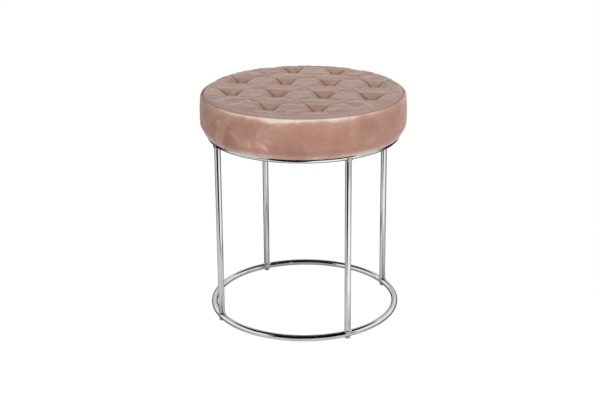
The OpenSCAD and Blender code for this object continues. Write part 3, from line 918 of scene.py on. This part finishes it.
def taper(wall, count):
    """The side's lower part, which tapers down and inwards to the ring, set in by a wall."""
    bend_drop = 3.0
    centre = np.array(edge_centre())
    top = np.array([side_radius(0.0), FRAME_MM + TAPER_HEIGHT])
    bend = top - [0, bend_drop]
    along = (bend - centre) / np.linalg.norm(bend - centre)
    foot = centre + EDGE_ROUND * np.array([along[1], -along[0]])
    t = np.linspace(0, 1, count)[:, None]
    points = foot * (1 - t) ** 2 + 2 * bend * t * (1 - t) + top * t ** 2
    slope = 2 * (bend - foot) * (1 - t) + 2 * (top - bend) * t
    slope /= np.linalg.norm(slope, axis=1, keepdims=True)
    return points - wall * np.stack([slope[:, 1], -slope[:, 0]], -1)


def low_outline(wall):
    """The hem on the ring, the turn over its tube and the edge that hangs beside it."""
    hem_points, hem_end, first_angle = 8, RING_MM - 2, 82
    hem = np.stack([np.linspace(HEM_MM, hem_end, hem_points),
                    np.full(hem_points, FRAME_MM + wall)], -1)
    centre = (RING_MM, FRAME_MM - TUBE_MM)
    over = arc(centre, TUBE_MM + TUBE_GAP + wall, first_angle, EDGE_ANGLE, ARC_POINTS)
    low_side = taper(0.0, 3)
    heading = math.degrees(math.atan2(low_side[1, 0] - low_side[0, 0], low_side[1, 1] - low_side[0, 1]))
    edge = arc(edge_centre(), EDGE_ROUND - wall, EDGE_ANGLE + 180, 360 - heading, ARC_POINTS)
    return np.concatenate([hem, over, edge[1:-1]])


def side_outline(wall, seam_depth):
    """Outline of the side from the hem to the bottom of the seam's groove, set in by a wall."""
    side_points, tail = 26, 2.5
    seam = side_radius(1.0) - UPPER_ROUND
    low_z = FRAME_MM + TAPER_HEIGHT
    top_z = SEAM_MM - UPPER_ROUND
    t = np.linspace(0, 1, side_points)[1:-1]
    side = np.stack([side_radius(t) - wall, low_z + (top_z - low_z) * t], -1)
    # The upper round runs on into the tighter round of the seam's lip
    reach = UPPER_ROUND - LIP_ROUND
    turn = math.degrees(math.acos((GROOVE + LIP_ROUND) / reach))
    lip = (seam + GROOVE + LIP_ROUND, top_z + reach * math.sin(math.radians(turn)))
    edge = seam + GROOVE + wall
    return np.concatenate([
        low_outline(wall),
        taper(wall, TAPER_POINTS),
        side,
        arc((seam, top_z), UPPER_ROUND - wall, 0, turn, ARC_POINTS - 1)[:-1],
        arc(lip, LIP_ROUND - wall, turn, 180, ARC_POINTS + 1),
        [[edge, lip[1] - seam_depth], [edge, lip[1] - seam_depth - tail]],
    ])


def wadding_outline(wall):
    """Closed outline of the wadding, clear of the side by a wall and of the foam and the board."""
    side_points, round_points, lift, clearance = 12, 5, 0.6, 1.0
    seam = side_radius(1.0) - UPPER_ROUND
    board = node_radius("seat_board") / MM + 2 * SOFT_GAP
    board_top = node_top("seat_board") / MM - SOFT_GAP
    low_z = FRAME_MM + TAPER_HEIGHT
    top_z = SEAM_MM - UPPER_ROUND
    low_side = taper(wall, TAPER_POINTS)
    low_side = low_side[low_side[:, 1] > FRAME_MM + wall + clearance]
    end = math.degrees(math.acos(wall / (UPPER_ROUND - wall)))
    t = np.linspace(0, 1, side_points)[1:-1]
    ledge = SEAM_MM - SEAM_ALLOWANCE - 2 * SOFT_GAP
    return np.concatenate([
        [[board, FRAME_MM + wall + lift], [RING_MM + TUBE_MM / 2, FRAME_MM + wall + lift]],
        low_side,
        np.stack([side_radius(t) - wall, low_z + (top_z - low_z) * t], -1),
        arc((seam, top_z), UPPER_ROUND - wall, 0, end, round_points),
        [[seam + wall, ledge], [PANEL_MM + 2 * SOFT_GAP, ledge],
         [PANEL_MM + 2 * SOFT_GAP, board_top], [board, board_top]],
    ])


def ring_faces(rows, columns):
    """Faces of a closed ring: columns round the stool, and a closed loop of rows."""
    i, j = np.meshgrid(np.arange(rows), np.arange(columns), indexing="ij")
    i, j = i.ravel(), j.ravel()
    m, n = (i + 1) % rows, (j + 1) % columns
    return np.stack([i * columns + j, i * columns + n, m * columns + n, m * columns + j], -1)


def revolve(outline, columns):
    """Points of an outline of radius and height, turned round the stool's middle."""
    angles = np.arange(columns) * 2 * math.pi / columns
    rows = len(outline)
    points = np.empty((rows, columns, 3))
    points[..., 0] = outline[:, :1] * np.cos(angles)
    points[..., 1] = outline[:, :1] * np.sin(angles)
    points[..., 2] = outline[:, 1:]
    return points, angles


# Every finish by name, which main fills in
MATERIALS = {}


class STOOL_OT_frame(bpy.types.Operator):
    """Finish the chromed rings, legs, welds and tabs, and the plastic glides"""

    bl_idname = "stool.frame"
    bl_label = "Chromed Frame"

    def execute(self, context):
        finishes = (
            ("chrome", ("lower_ring", "upper_ring", "leg_front_left", "leg_front_right",
                        "leg_back_left", "leg_back_right", "mounting_tabs")),
            ("weld", ("lower_welds", "upper_welds", "tab_welds")),
            ("glide", ("foot_glide_front_left", "foot_glide_front_right",
                       "foot_glide_back_left", "foot_glide_back_right")),
        )
        for finish in finishes:
            paint_nodes(*finish)
        return {"FINISHED"}


class STOOL_OT_hardware(bpy.types.Operator):
    """Finish the board, screws, washers, tee nuts, twines and their discs"""

    bl_idname = "stool.hardware"
    bl_label = "Board and Hardware"

    def execute(self, context):
        paint_nodes("plywood", ("seat_board",))
        paint_nodes("zinc", ("seat_screws", "screw_washers", "tee_nuts"))
        paint_nodes("twine", ("tuft_twines",))
        paint_nodes("anchor", ("tuft_anchors",))
        return {"FINISHED"}


def paint_nodes(material, nodes):
    """Gives carried-over nodes a finish."""
    for name in nodes:
        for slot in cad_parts[name].material_slots:
            slot.material = MATERIALS[material]


class STOOL_OT_top(bpy.types.Operator):
    """Build the tufted velvet top and the foam under it"""

    bl_idname = "stool.top"
    bl_label = "Tufted Top"

    # What the pits and the seam allowance take up of the cloth's radius
    tucked = 0.041

    def execute(self, context):
        velvet = context.scene.stool_velvet
        trial = None
        if velvet.simulate:
            trial = puffed(velvet, TRIAL_DIVISIONS)
        points, faces, nap, fold = quilted_top(velvet, TOP_DIVISIONS, trial)
        under = points - [0, 0, velvet.thickness]
        top = sheet_mesh("velvet_top", points, under, faces)
        # lean carries a grey sheen painted on the top, and fold painted shade in its folds
        for name, values in (("nap", nap), ("lean", top_painted_sheen(points / MM)), ("fold", fold)):
            store_values(top, name, np.concatenate([values, values]))
        finish_piece(top, "velvet", ("tufted_top",))
        coarse, coarse_faces, _, _ = quilted_top(velvet, FOAM_DIVISIONS, trial)
        coarse[:, 2] -= velvet.thickness + 2 * SOFT_GAP * MM
        base = coarse.copy()
        base[:, 2] = node_top("seat_board")
        foam = sheet_mesh("foam_block", coarse, base, coarse_faces)
        finish_piece(foam, "foam", ("seat_foam",))
        return {"FINISHED"}


class STOOL_OT_band(bpy.types.Operator):
    """Build the velvet side band and the wadding behind it"""

    bl_idname = "stool.band"
    bl_label = "Side Band"

    columns = 540
    cut_height = 0.135

    def execute(self, context):
        velvet = context.scene.stool_velvet
        depth = velvet.seam_depth / MM
        wall = velvet.thickness / MM
        outer, angles = revolve(side_outline(0.0, depth), self.columns)
        inner, _ = revolve(side_outline(wall, depth), self.columns)
        move = self.undulation(outer, angles, velvet)
        loop = np.concatenate([outer + move, (inner + move)[::-1]]).reshape(-1, 3)
        band = mesh_piece("velvet_side", loop * MM, ring_faces(2 * len(outer), self.columns))
        store_values(band, "nap", self.nap(loop))
        finish_piece(band, "velvet", ("side_band",))
        self.wadding(wall)
        return {"FINISHED"}

    def wadding(self, wall):
        """Soft filling between the board, the foam and the velvet side."""
        lump_width, unevenness = 12.0, 0.0006
        loop = wadding_outline(wall + 2 * SOFT_GAP)
        points, _ = revolve(loop, WADDING_COLUMNS)
        flat = points.reshape(-1, 3)
        flat[:, :2] *= 1 + unevenness * soft_noise(flat, lump_width, 31)[:, None]
        piece = mesh_piece("wadding_ring", flat * MM, ring_faces(len(loop), WADDING_COLUMNS))
        finish_piece(piece, "wadding", ("side_wadding",))

    def nap(self, points):
        """How the pile lies on the side, brushed in patches, with a painted highlight under the
        seam, painted light along the hem and painted shade at the end on the camera's left.
        """
        patch_width, strip_depth, strip_change, change_width = 95.0, 8.0, 2.0, 45.0
        hem_depth, painted_hem_light = 6.0, 1.2
        highlight_angle, painted_shade_angle = math.radians(-85), math.radians(198)
        _, angle = polar(points)
        height = (points[:, 2] - FRAME_MM) / (SEAM_MM - FRAME_MM)
        nap = 0.25 * soft_noise(points, patch_width, 21) + brush_marks(angle, height, 8, 60)
        depth = strip_depth + strip_change * soft_noise(points * [1, 1, 0], change_width, 22)
        # Painted highlight in a strip under the seam, strongest towards the front
        painted_highlight = 1.0 + 1.5 * np.clip(np.cos(angle - highlight_angle), 0, 1) ** 3
        nap += painted_highlight * np.exp(-(np.clip(SEAM_MM - points[:, 2], 0, None) / depth) ** 1.5)
        # Painted light along the hem, against the shade where the side meets the ring
        above_hem = np.clip(points[:, 2] - FRAME_MM, 0, None)
        nap += painted_hem_light * bell(above_hem, hem_depth)
        # Painted shade at the end of the side on the camera's left
        return nap - 3.2 * np.clip(np.cos(angle - painted_shade_angle), 0, 1) ** 9

    def undulation(self, outer, angles, velvet):
        """Soft waves of the wadding, gathers at the hem and the join at the back."""
        wave_width, wave_height = 60.0, 0.45
        hem_radius, hem_fade, hem_height, gather_height = 196.0, 18.0, 12.0, 0.5
        join_angle, join_width, join_depth = math.radians(82), 0.9, 0.9
        height = outer[..., 2]
        radial = np.stack([np.broadcast_to(np.cos(angles), height.shape),
                           np.broadcast_to(np.sin(angles), height.shape),
                           np.zeros(height.shape)], -1)
        waves = soft_noise(outer.reshape(-1, 3), wave_width, 3, 2).reshape(height.shape)
        belly = ramp(height - FRAME_MM - 6, 12) * ramp(SEAM_MM - 3 - height, 8)
        move = radial * (wave_height * waves * belly)[..., None]
        turn = velvet.gathers * angles + 1.5 * np.sin(6 * angles)
        hem = ramp(hem_radius - polar(outer)[0], hem_fade)
        low = ramp(FRAME_MM + hem_height - height, hem_height)
        # A gather may stand up from the hem but not sink into the ring
        move[..., 2] += np.maximum(gather_height * np.sin(turn) * hem * low, -0.1)
        seam = bell((angles - join_angle) * SEAT_MM, join_width)
        move -= radial * (join_depth * seam * belly)[..., None]
        return move


# Trees of geometry nodes for what repeats

def new_tree(name, sockets):
    """Geometry node tree with named inputs. Returns the tree and its inputs by name."""
    tree = bpy.data.node_groups.new(name, "GeometryNodeTree")
    tree.interface.new_socket("Geometry", in_out="INPUT", socket_type="NodeSocketGeometry")
    for socket_name, kind, value in sockets:
        socket = tree.interface.new_socket(socket_name, in_out="INPUT", socket_type=kind)
        socket.default_value = value
    tree.interface.new_socket("Geometry", in_out="OUTPUT", socket_type="NodeSocketGeometry")
    return tree, tree.nodes.new("NodeGroupInput").outputs


def end_tree(tree, geometry, material):
    """Ends a tree in real geometry with its material."""
    real = add_node(tree, "GeometryNodeRealizeInstances", {"Geometry": geometry})
    painted = add_node(tree, "GeometryNodeSetMaterial", {"Geometry": real, "Material": material})
    add_node(tree, "NodeGroupOutput", (painted,))


def grown_mesh(name, points, tree, values):
    """Plain mesh that a tree grows on a set of points, with its named inputs set."""
    seeds = mesh_piece(name + "_points", points, [])
    modifier = seeds.modifiers.new("Nodes", "NODES")
    modifier.node_group = tree
    for item in tree.interface.items_tree:
        if item.in_out == "INPUT" and item.name in values:
            modifier[item.identifier] = values[item.name]
    evaluated = seeds.evaluated_get(bpy.context.evaluated_depsgraph_get())
    mesh = bpy.data.meshes.new_from_object(evaluated)
    mesh.name = name
    seeds.modifiers.remove(modifier)
    bpy.data.objects.remove(seeds)
    piece = bpy.data.objects.new(name, mesh)
    bpy.context.collection.objects.link(piece)
    return piece


def button_tree(material):
    """Covered buttons: a flattened ball with a slightly uneven cover, one on each point."""
    tilt, full_turn = 0.12, 6.28
    dents_per_metre = 600.0
    tree, start = new_tree("Covered Buttons", (
        ("Radius", "NodeSocketFloat", 4 * MM), ("Height", "NodeSocketFloat", 1.2 * MM),
        ("Wrinkle", "NodeSocketFloat", 0.2 * MM), ("Seed", "NodeSocketInt", 4)))
    ball = add_node(tree, "GeometryNodeMeshUVSphere", {"Segments": 36, "Rings": 18})
    size = add_node(tree, "ShaderNodeCombineXYZ",
                    (start["Radius"], start["Radius"], start["Height"]))
    flat = add_node(tree, "GeometryNodeTransform", {"Geometry": ball, "Scale": size})
    smooth = add_node(tree, "GeometryNodeSetShadeSmooth", {"Geometry": flat})
    turn = add_node(tree, "FunctionNodeRandomValue", {
        0: (-tilt, -tilt, 0.0), 1: (tilt, tilt, full_turn), "Seed": start["Seed"]},
        data_type="FLOAT_VECTOR")
    placed = add_node(tree, "GeometryNodeInstanceOnPoints", {
        "Points": start["Geometry"], "Instance": smooth, "Rotation": turn})
    real = add_node(tree, "GeometryNodeRealizeInstances", {"Geometry": placed})
    noise = add_node(tree, "ShaderNodeTexNoise", {"Scale": dents_per_metre, "Detail": 1.0})
    centred = add_node(tree, "ShaderNodeVectorMath", (noise.outputs["Color"], (0.5, 0.5, 0.5)),
                       operation="SUBTRACT")
    shift = add_node(tree, "ShaderNodeVectorMath", {0: centred, "Scale": start["Wrinkle"]},
                     operation="SCALE")
    uneven = add_node(tree, "GeometryNodeSetPosition", {"Geometry": real, "Offset": shift})
    end_tree(tree, uneven, material)
    return tree


def staple_tree(material):
    """Staples: a crown of round wire with two short legs, one on each point, along the edge."""
    # A staple lies along the cloth's edge, give or take 14 degrees
    least_turn, most_turn = 1.32, 1.82
    tree, start = new_tree("Staples", (
        ("Width", "NodeSocketFloat", 10 * MM), ("Leg", "NodeSocketFloat", 3 * MM),
        ("Wire", "NodeSocketFloat", 0.9 * MM), ("Seed", "NodeSocketInt", 6)))
    wire = add_node(tree, "GeometryNodeJoinGeometry")
    shoulders = []
    for side in (-0.5, 0.5):
        reach = add_node(tree, "ShaderNodeMath", (start["Width"], side), operation="MULTIPLY")
        shoulder = add_node(tree, "ShaderNodeCombineXYZ", {"X": reach})
        tip = add_node(tree, "ShaderNodeCombineXYZ", {"X": reach, "Z": start["Leg"]})
        shoulders += [tip, shoulder] if side < 0 else [shoulder, tip]
    for first, second in zip(shoulders, shoulders[1:]):
        line = add_node(tree, "GeometryNodeCurvePrimitiveLine", {"Start": first, "End": second})
        tree.links.new(line.outputs[0], wire.inputs[0])
    thickness = add_node(tree, "ShaderNodeMath", (start["Wire"], 0.5), operation="MULTIPLY")
    section = add_node(tree, "GeometryNodeCurvePrimitiveCircle", {"Resolution": 8,
                                                                  "Radius": thickness})
    solid = add_node(tree, "GeometryNodeCurveToMesh", {"Curve": wire, "Profile Curve": section,
                                                       "Fill Caps": True})
    place = add_node(tree, "GeometryNodeInputPosition")
    parts = add_node(tree, "ShaderNodeSeparateXYZ", (place,)).outputs
    heading = add_node(tree, "ShaderNodeMath", (parts["Y"], parts["X"]), operation="ARCTAN2")
    jitter = add_node(tree, "FunctionNodeRandomValue", {
        2: least_turn, 3: most_turn, "Seed": start["Seed"]}, data_type="FLOAT")
    angle = add_node(tree, "ShaderNodeMath", (heading, jitter.outputs[1]), operation="ADD")
    turn = add_node(tree, "ShaderNodeCombineXYZ", {"Z": angle})
    placed = add_node(tree, "GeometryNodeInstanceOnPoints", {
        "Points": start["Geometry"], "Instance": solid, "Rotation": turn})
    end_tree(tree, placed, material)
    return tree


class STOOL_OT_buttons(bpy.types.Operator):
    """Build the covered buttons at the bottom of the tufts"""

    bl_idname = "stool.buttons"
    bl_label = "Covered Buttons"

    def execute(self, context):
        brushed_up = 0.2
        low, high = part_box("tuft_buttons")
        height = (high[2] - low[2]) / 2
        centres = tuft_centres() * MM
        points = np.concatenate([centres, np.full((len(centres), 1), low[2] + height)], 1)
        tree = button_tree(MATERIALS["velvet"])
        values = {"Radius": context.scene.stool_velvet.button_width / 2, "Height": height}
        buttons = grown_mesh("covered_buttons", points, tree, values)
        store_values(buttons, "nap", np.full(len(buttons.data.vertices), brushed_up))
        finish_piece(buttons, "velvet", ("tuft_buttons",))
        return {"FINISHED"}


class STOOL_OT_underside(bpy.types.Operator):
    """Build the black cloth under the seat and its staples"""

    bl_idname = "stool.underside"
    bl_label = "Underside"

    rings = 40
    columns = 192

    def execute(self, context):
        metal = context.scene.stool_metal
        edge = node_radius("dust_cover")
        top = node_top("dust_cover")
        thickness = top - node_base("dust_cover")
        radii = np.linspace(0, edge, self.rings + 1)[1:]
        angles = np.arange(self.columns) * 2 * math.pi / self.columns
        r, a = np.meshgrid(radii, angles, indexing="ij")
        flat = np.stack([r * np.cos(a), r * np.sin(a), np.zeros(r.shape)], -1).reshape(-1, 3)
        flat = np.concatenate([[[0.0, 0.0, 0.0]], flat])
        flat[:, 2] = -self.sag(flat, edge, metal.staples)
        count = len(flat)
        fan = [(0, 1 + j, 1 + (j + 1) % self.columns) for j in range(self.columns)]
        i, j = np.meshgrid(np.arange(self.rings - 1), np.arange(self.columns), indexing="ij")
        i, j = i.ravel(), j.ravel()
        n = (j + 1) % self.columns
        c = self.columns
        quads = np.stack([1 + i * c + j, 1 + (i + 1) * c + j, 1 + (i + 1) * c + n, 1 + i * c + n], -1)
        upper = [tuple(f) for f in quads] + fan
        lower = [tuple(k + count for k in reversed(f)) for f in upper]
        rim = 1 + (self.rings - 1) * c + np.arange(c)
        following = np.roll(rim, -1)
        wall = [tuple(f) for f in np.stack([rim, rim + count, following + count, following], -1)]
        points = np.concatenate([flat + [0, 0, top], flat + [0, 0, top - thickness]])
        cover = mesh_piece("black_cloth", points, upper + lower + wall)
        finish_piece(cover, "dust_cloth", ("dust_cover",))
        self.staples(metal, edge, node_base("dust_cover"))
        return {"FINISHED"}

    def sag(self, points, edge, staples):
        """How far the cloth hangs below its edge, with small puckers at the staples."""
        free_radius, depth, wave_width = 0.134, 2.2 * MM, 0.09
        pucker_height, pucker_reach = 0.12 * MM, 0.012
        radius, angle = polar(points)
        free = np.clip(1 - radius / free_radius, 0, 1)
        middle = depth * (1 - (1 - free) ** 2) * (1 + 0.25 * soft_noise(points, wave_width, 41))
        puckers = pucker_height * (1 + np.cos(staples * angle))
        return middle + puckers * bell(edge - radius, pucker_reach)

    def staples(self, metal, edge, height):
        """Ring of staples just inside the edge of the cloth."""
        margin = 5 * MM
        angles = (np.arange(metal.staples) + 0.5) * 2 * math.pi / metal.staples
        ring = edge - margin
        low = height - metal.staple_wire / 2
        points = np.stack([ring * np.cos(angles), ring * np.sin(angles), np.full(len(angles), low)], -1)
        tree = staple_tree(MATERIALS["zinc"])
        values = {"Width": metal.staple_width, "Wire": metal.staple_wire}
        row = grown_mesh("staples", points, tree, values)
        finish_piece(row, "zinc")


# The dark room on the photo's side: its middle, and the half widths where it begins and ends to
# fade, in degrees
ROOM = (9, 48, 56)
# How bright the floor and the walls are in the chrome, which dims what it mirrors
MIRRORED_STRENGTH = 1.4


class STOOL_OT_studio(bpy.types.Operator):
    """Set up the floor, the soft light and the camera"""

    bl_idname = "stool.studio"
    bl_label = "Studio"

    def execute(self, context):
        studio = context.scene.stool_studio
        self.floor(studio)
        self.world(context.scene)
        self.lamps(studio)
        self.camera(context.scene, studio)
        context.scene.view_settings.view_transform = "Standard"
        return {"FINISHED"}

    def floor(self, studio):
        """White paper sweep. The camera sees it glow white, and the chrome has a sheet of its own."""
        size = 12.0
        glow_strength, glow_share = 1.04, 0.93
        corners = [(-size, -size, 0), (size, -size, 0), (size, size, 0), (-size, size, 0)]
        floor = mesh_piece("studio_floor", corners, [(0, 1, 2, 3)])
        material, tree = new_material("White paper sweep")
        path = add_node(tree, "ShaderNodeLightPath").outputs
        paper = add_node(tree, "ShaderNodeBsdfDiffuse", {"Color": rgba(studio.floor)})
        glow = add_node(tree, "ShaderNodeEmission", {"Color": WHITE, "Strength": glow_strength})
        seen = add_node(tree, "ShaderNodeMixShader", (glow_share, paper, glow))
        sheet = add_node(tree, "ShaderNodeEmission", {"Color": self.reflected_floor(tree),
                                                      "Strength": MIRRORED_STRENGTH})
        mirrored = add_node(tree, "ShaderNodeMixShader", (path["Is Glossy Ray"], paper, sheet))
        above = add_node(tree, "ShaderNodeMixShader", (path["Is Camera Ray"], mirrored, seen))
        # From under the floor the camera looks through it, at the underside of the stool
        backs = add_node(tree, "ShaderNodeNewGeometry").outputs["Backfacing"]
        under = add_node(tree, "ShaderNodeMath", (path["Is Camera Ray"], backs),
                         operation="MULTIPLY")
        clear = add_node(tree, "ShaderNodeBsdfTransparent")
        surface = add_node(tree, "ShaderNodeMixShader", (under, above, clear))
        add_node(tree, "ShaderNodeOutputMaterial", {"Surface": surface})
        floor.data.materials.append(material)

    def reflected_floor(self, tree):
        """Tone of what the chrome sees of the floor: pale paper with a painted pool of light to the
        right, dark behind.

        A dark wedge opens on it towards the front and left, where the light is shaded, and the
        dark room begins past the paper's front edge. A painted shadow lies beside the ring at its
        sides. Distances are in metres.
        """
        bright_spot, wedge_tip = (0.42, -0.62, 0), (-0.05, -0.4, 0)
        facing, x, y, _ = self.facing(tree, "Object")
        lit = add_node(tree, "ShaderNodeVectorMath", (facing, bright_spot),
                       operation="DISTANCE").outputs["Value"]
        corner = add_node(tree, "ShaderNodeVectorMath", (facing, wedge_tip), operation="SUBTRACT")
        wedge = self.sector(tree, corner, -17, 39, 43)
        past = add_node(tree, "ShaderNodeMapRange", (y, -1.25, -1.4))
        room = add_node(tree, "ShaderNodeMath", (self.sector(tree, facing, *ROOM), past),
                        operation="MULTIPLY")
        # Painted shadow on the floor beside the ring at its sides, as the chrome sees it
        aside = add_node(tree, "ShaderNodeMath", (x,), operation="ABSOLUTE")
        aside = add_node(tree, "ShaderNodeMapRange", (aside, 0.1, 0.16))
        reach = add_node(tree, "ShaderNodeVectorMath", (facing,),
                         operation="LENGTH").outputs["Value"]
        close = add_node(tree, "ShaderNodeMapRange", (reach, 0.27, 0.24))
        beside = add_node(tree, "ShaderNodeMath", (aside, close), operation="MULTIPLY")
        return layered_colour(tree, "#CBCBCA", (
            (lit, 0.46, 0.36, 1, "#FFFFFF"),
            (beside, 0, 1, 1, "#A2A2A1"),
            (y, 0.05, 0.3, 1, "#1E1F20"),
            (wedge, 0, 1, 1, "#0C0B0A"),
            (room, 0, 1, 1, "#0C0B0A"),
        ))

    def facing(self, tree, output):
        """Place or direction as seen from the photo's side, which looks along Y, and its parts."""
        place = add_node(tree, "ShaderNodeTexCoord").outputs[output]
        facing = add_node(tree, "ShaderNodeMapping", {"Vector": place,
                                                      "Rotation": (0, 0, -CAMERA_TURN)})
        parts = add_node(tree, "ShaderNodeSeparateXYZ", (facing,)).outputs
        return facing, parts["X"], parts["Y"], parts["Z"]

    def sector(self, tree, place, middle, inner, outer):
        """Share from 1 to 0 of a sector that opens towards the photo's side.

        It has its middle in degrees to the right, and the half widths where it begins and ends
        to fade.
        """
        parts = add_node(tree, "ShaderNodeSeparateXYZ", (place,)).outputs
        front = add_node(tree, "ShaderNodeMath", (parts["Y"], -1), operation="MULTIPLY")
        heading = add_node(tree, "ShaderNodeMath", (parts["X"], front), operation="ARCTAN2")
        offset = add_node(tree, "ShaderNodeMath", (heading, math.radians(middle)),
                          operation="SUBTRACT")
        offset = add_node(tree, "ShaderNodeMath", (offset,), operation="ABSOLUTE")
        return add_node(tree, "ShaderNodeMapRange",
                        (offset, math.radians(outer), math.radians(inner)))

    def world(self, scene):
        """Plain pale surround. The chrome sees pale walls, and a dark room on the photo's side."""
        ambient = 0.66
        world = bpy.data.worlds.new("Studio")
        scene.world = world
        world.use_nodes = True
        tree = world.node_tree
        tree.nodes.clear()
        path = add_node(tree, "ShaderNodeLightPath").outputs
        facing, _, _, up = self.facing(tree, "Generated")
        high = add_node(tree, "ShaderNodeMapRange", (up, 0.66, 0.72))
        room = add_node(tree, "ShaderNodeMath", (self.sector(tree, facing, *ROOM), high),
                        operation="MAXIMUM")
        tone = layered_colour(tree, "#FFFFFF", (
            (up, 0.4, 0.5, 1, "#DCDDDE"),
            (up, 0.06, 0.02, 1, "#8A8B8C"),
            (room, 0, 1, 1, "#111112"),
        ))
        walls, plain, white = [
            add_node(tree, "ShaderNodeBackground", {"Color": colour, "Strength": strength})
            for colour, strength in ((tone, MIRRORED_STRENGTH), (WHITE, ambient), (WHITE, 1.0))]
        mirrored = add_node(tree, "ShaderNodeMixShader", (path["Is Glossy Ray"], plain, walls))
        surface = add_node(tree, "ShaderNodeMixShader", (path["Is Camera Ray"], mirrored, white))
        add_node(tree, "ShaderNodeOutputWorld", {"Surface": surface})

    def lamps(self, studio):
        """One broad lamp overhead towards the front, and a fill from each side."""
        middle = Vector((0, 0, 0.35))
        lamps = (
            ("overhead_lamp", (0.3, -1.9, 1.9), 1.6, 0.95),
            ("left_fill", (-2.4, -1.2, 1.3), 1.4, 0.12),
            ("right_fill", (2.6, -1.1, 1.1), 1.6, 0.8),
        )
        for name, place, size, share in lamps:
            data = bpy.data.lights.new(name, "AREA")
            data.energy = studio.key_power * share
            data.size = size
            lamp = bpy.data.objects.new(name, data)
            lamp.location = place
            lamp.visible_glossy = False
            aim = middle - Vector(place)
            lamp.rotation_euler = aim.to_track_quat("-Z", "Y").to_euler()
            bpy.context.collection.objects.link(lamp)

    def camera(self, scene, studio):
        """Camera at the height and distance that the photo was taken from."""
        distance, height = 2.1582, 1.0145
        yaw, tilt, roll = 0.0037, math.radians(20.15), -0.0074
        data = bpy.data.cameras.new("camera")
        data.lens = studio.lens
        data.sensor_width = 36.0
        camera = bpy.data.objects.new("camera", data)
        place = Vector((distance * math.sin(studio.azimuth), -distance * math.cos(studio.azimuth),
                        height))
        turn = (Matrix.Rotation(studio.azimuth + yaw, 4, "Z")
                @ Matrix.Rotation(math.radians(90) - tilt, 4, "X") @ Matrix.Rotation(roll, 4, "Z"))
        camera.matrix_world = Matrix.Translation(place) @ turn
        bpy.context.collection.objects.link(camera)
        scene.camera = camera


class STOOL_PT_panel(bpy.types.Panel):
    """Sidebar panel of the stool"""

    bl_label = "Tufted Round Stool"
    bl_idname = "STOOL_PT_panel"
    bl_space_type = "VIEW_3D"
    bl_region_type = "UI"
    bl_category = "Stool"

    def draw(self, context):
        for group in (context.scene.stool_velvet, context.scene.stool_metal,
                      context.scene.stool_studio):
            box = self.layout.box()
            for name in group.__annotations__:
                box.prop(group, name)
        for operator in OPERATORS:
            self.layout.operator(operator.bl_idname)


GROUPS = (("stool_velvet", StoolVelvet), ("stool_metal", StoolMetal), ("stool_studio", StoolStudio))
OPERATORS = (STOOL_OT_studio, STOOL_OT_frame, STOOL_OT_hardware, STOOL_OT_top, STOOL_OT_buttons,
             STOOL_OT_band, STOOL_OT_underside)


def register():
    """Registers the settings, the operators and the panel."""
    for name, group in GROUPS:
        bpy.utils.register_class(group)
        setattr(bpy.types.Scene, name, PointerProperty(type=group))
    for item in (*OPERATORS, STOOL_PT_panel):
        bpy.utils.register_class(item)


def unregister():
    """Takes out what register put in."""
    for item in reversed((*OPERATORS, STOOL_PT_panel)):
        bpy.utils.unregister_class(item)
    for name, group in reversed(GROUPS):
        delattr(bpy.types.Scene, name)
        bpy.utils.unregister_class(group)


def main():
    """Builds the whole stool and its studio."""
    register()
    MATERIALS.update(make_materials(bpy.context.scene))
    bpy.ops.stool.studio()
    bpy.ops.stool.frame()
    bpy.ops.stool.hardware()
    bpy.ops.stool.top()
    bpy.ops.stool.buttons()
    bpy.ops.stool.band()
    bpy.ops.stool.underside()


if __name__ == "__main__":
    main()
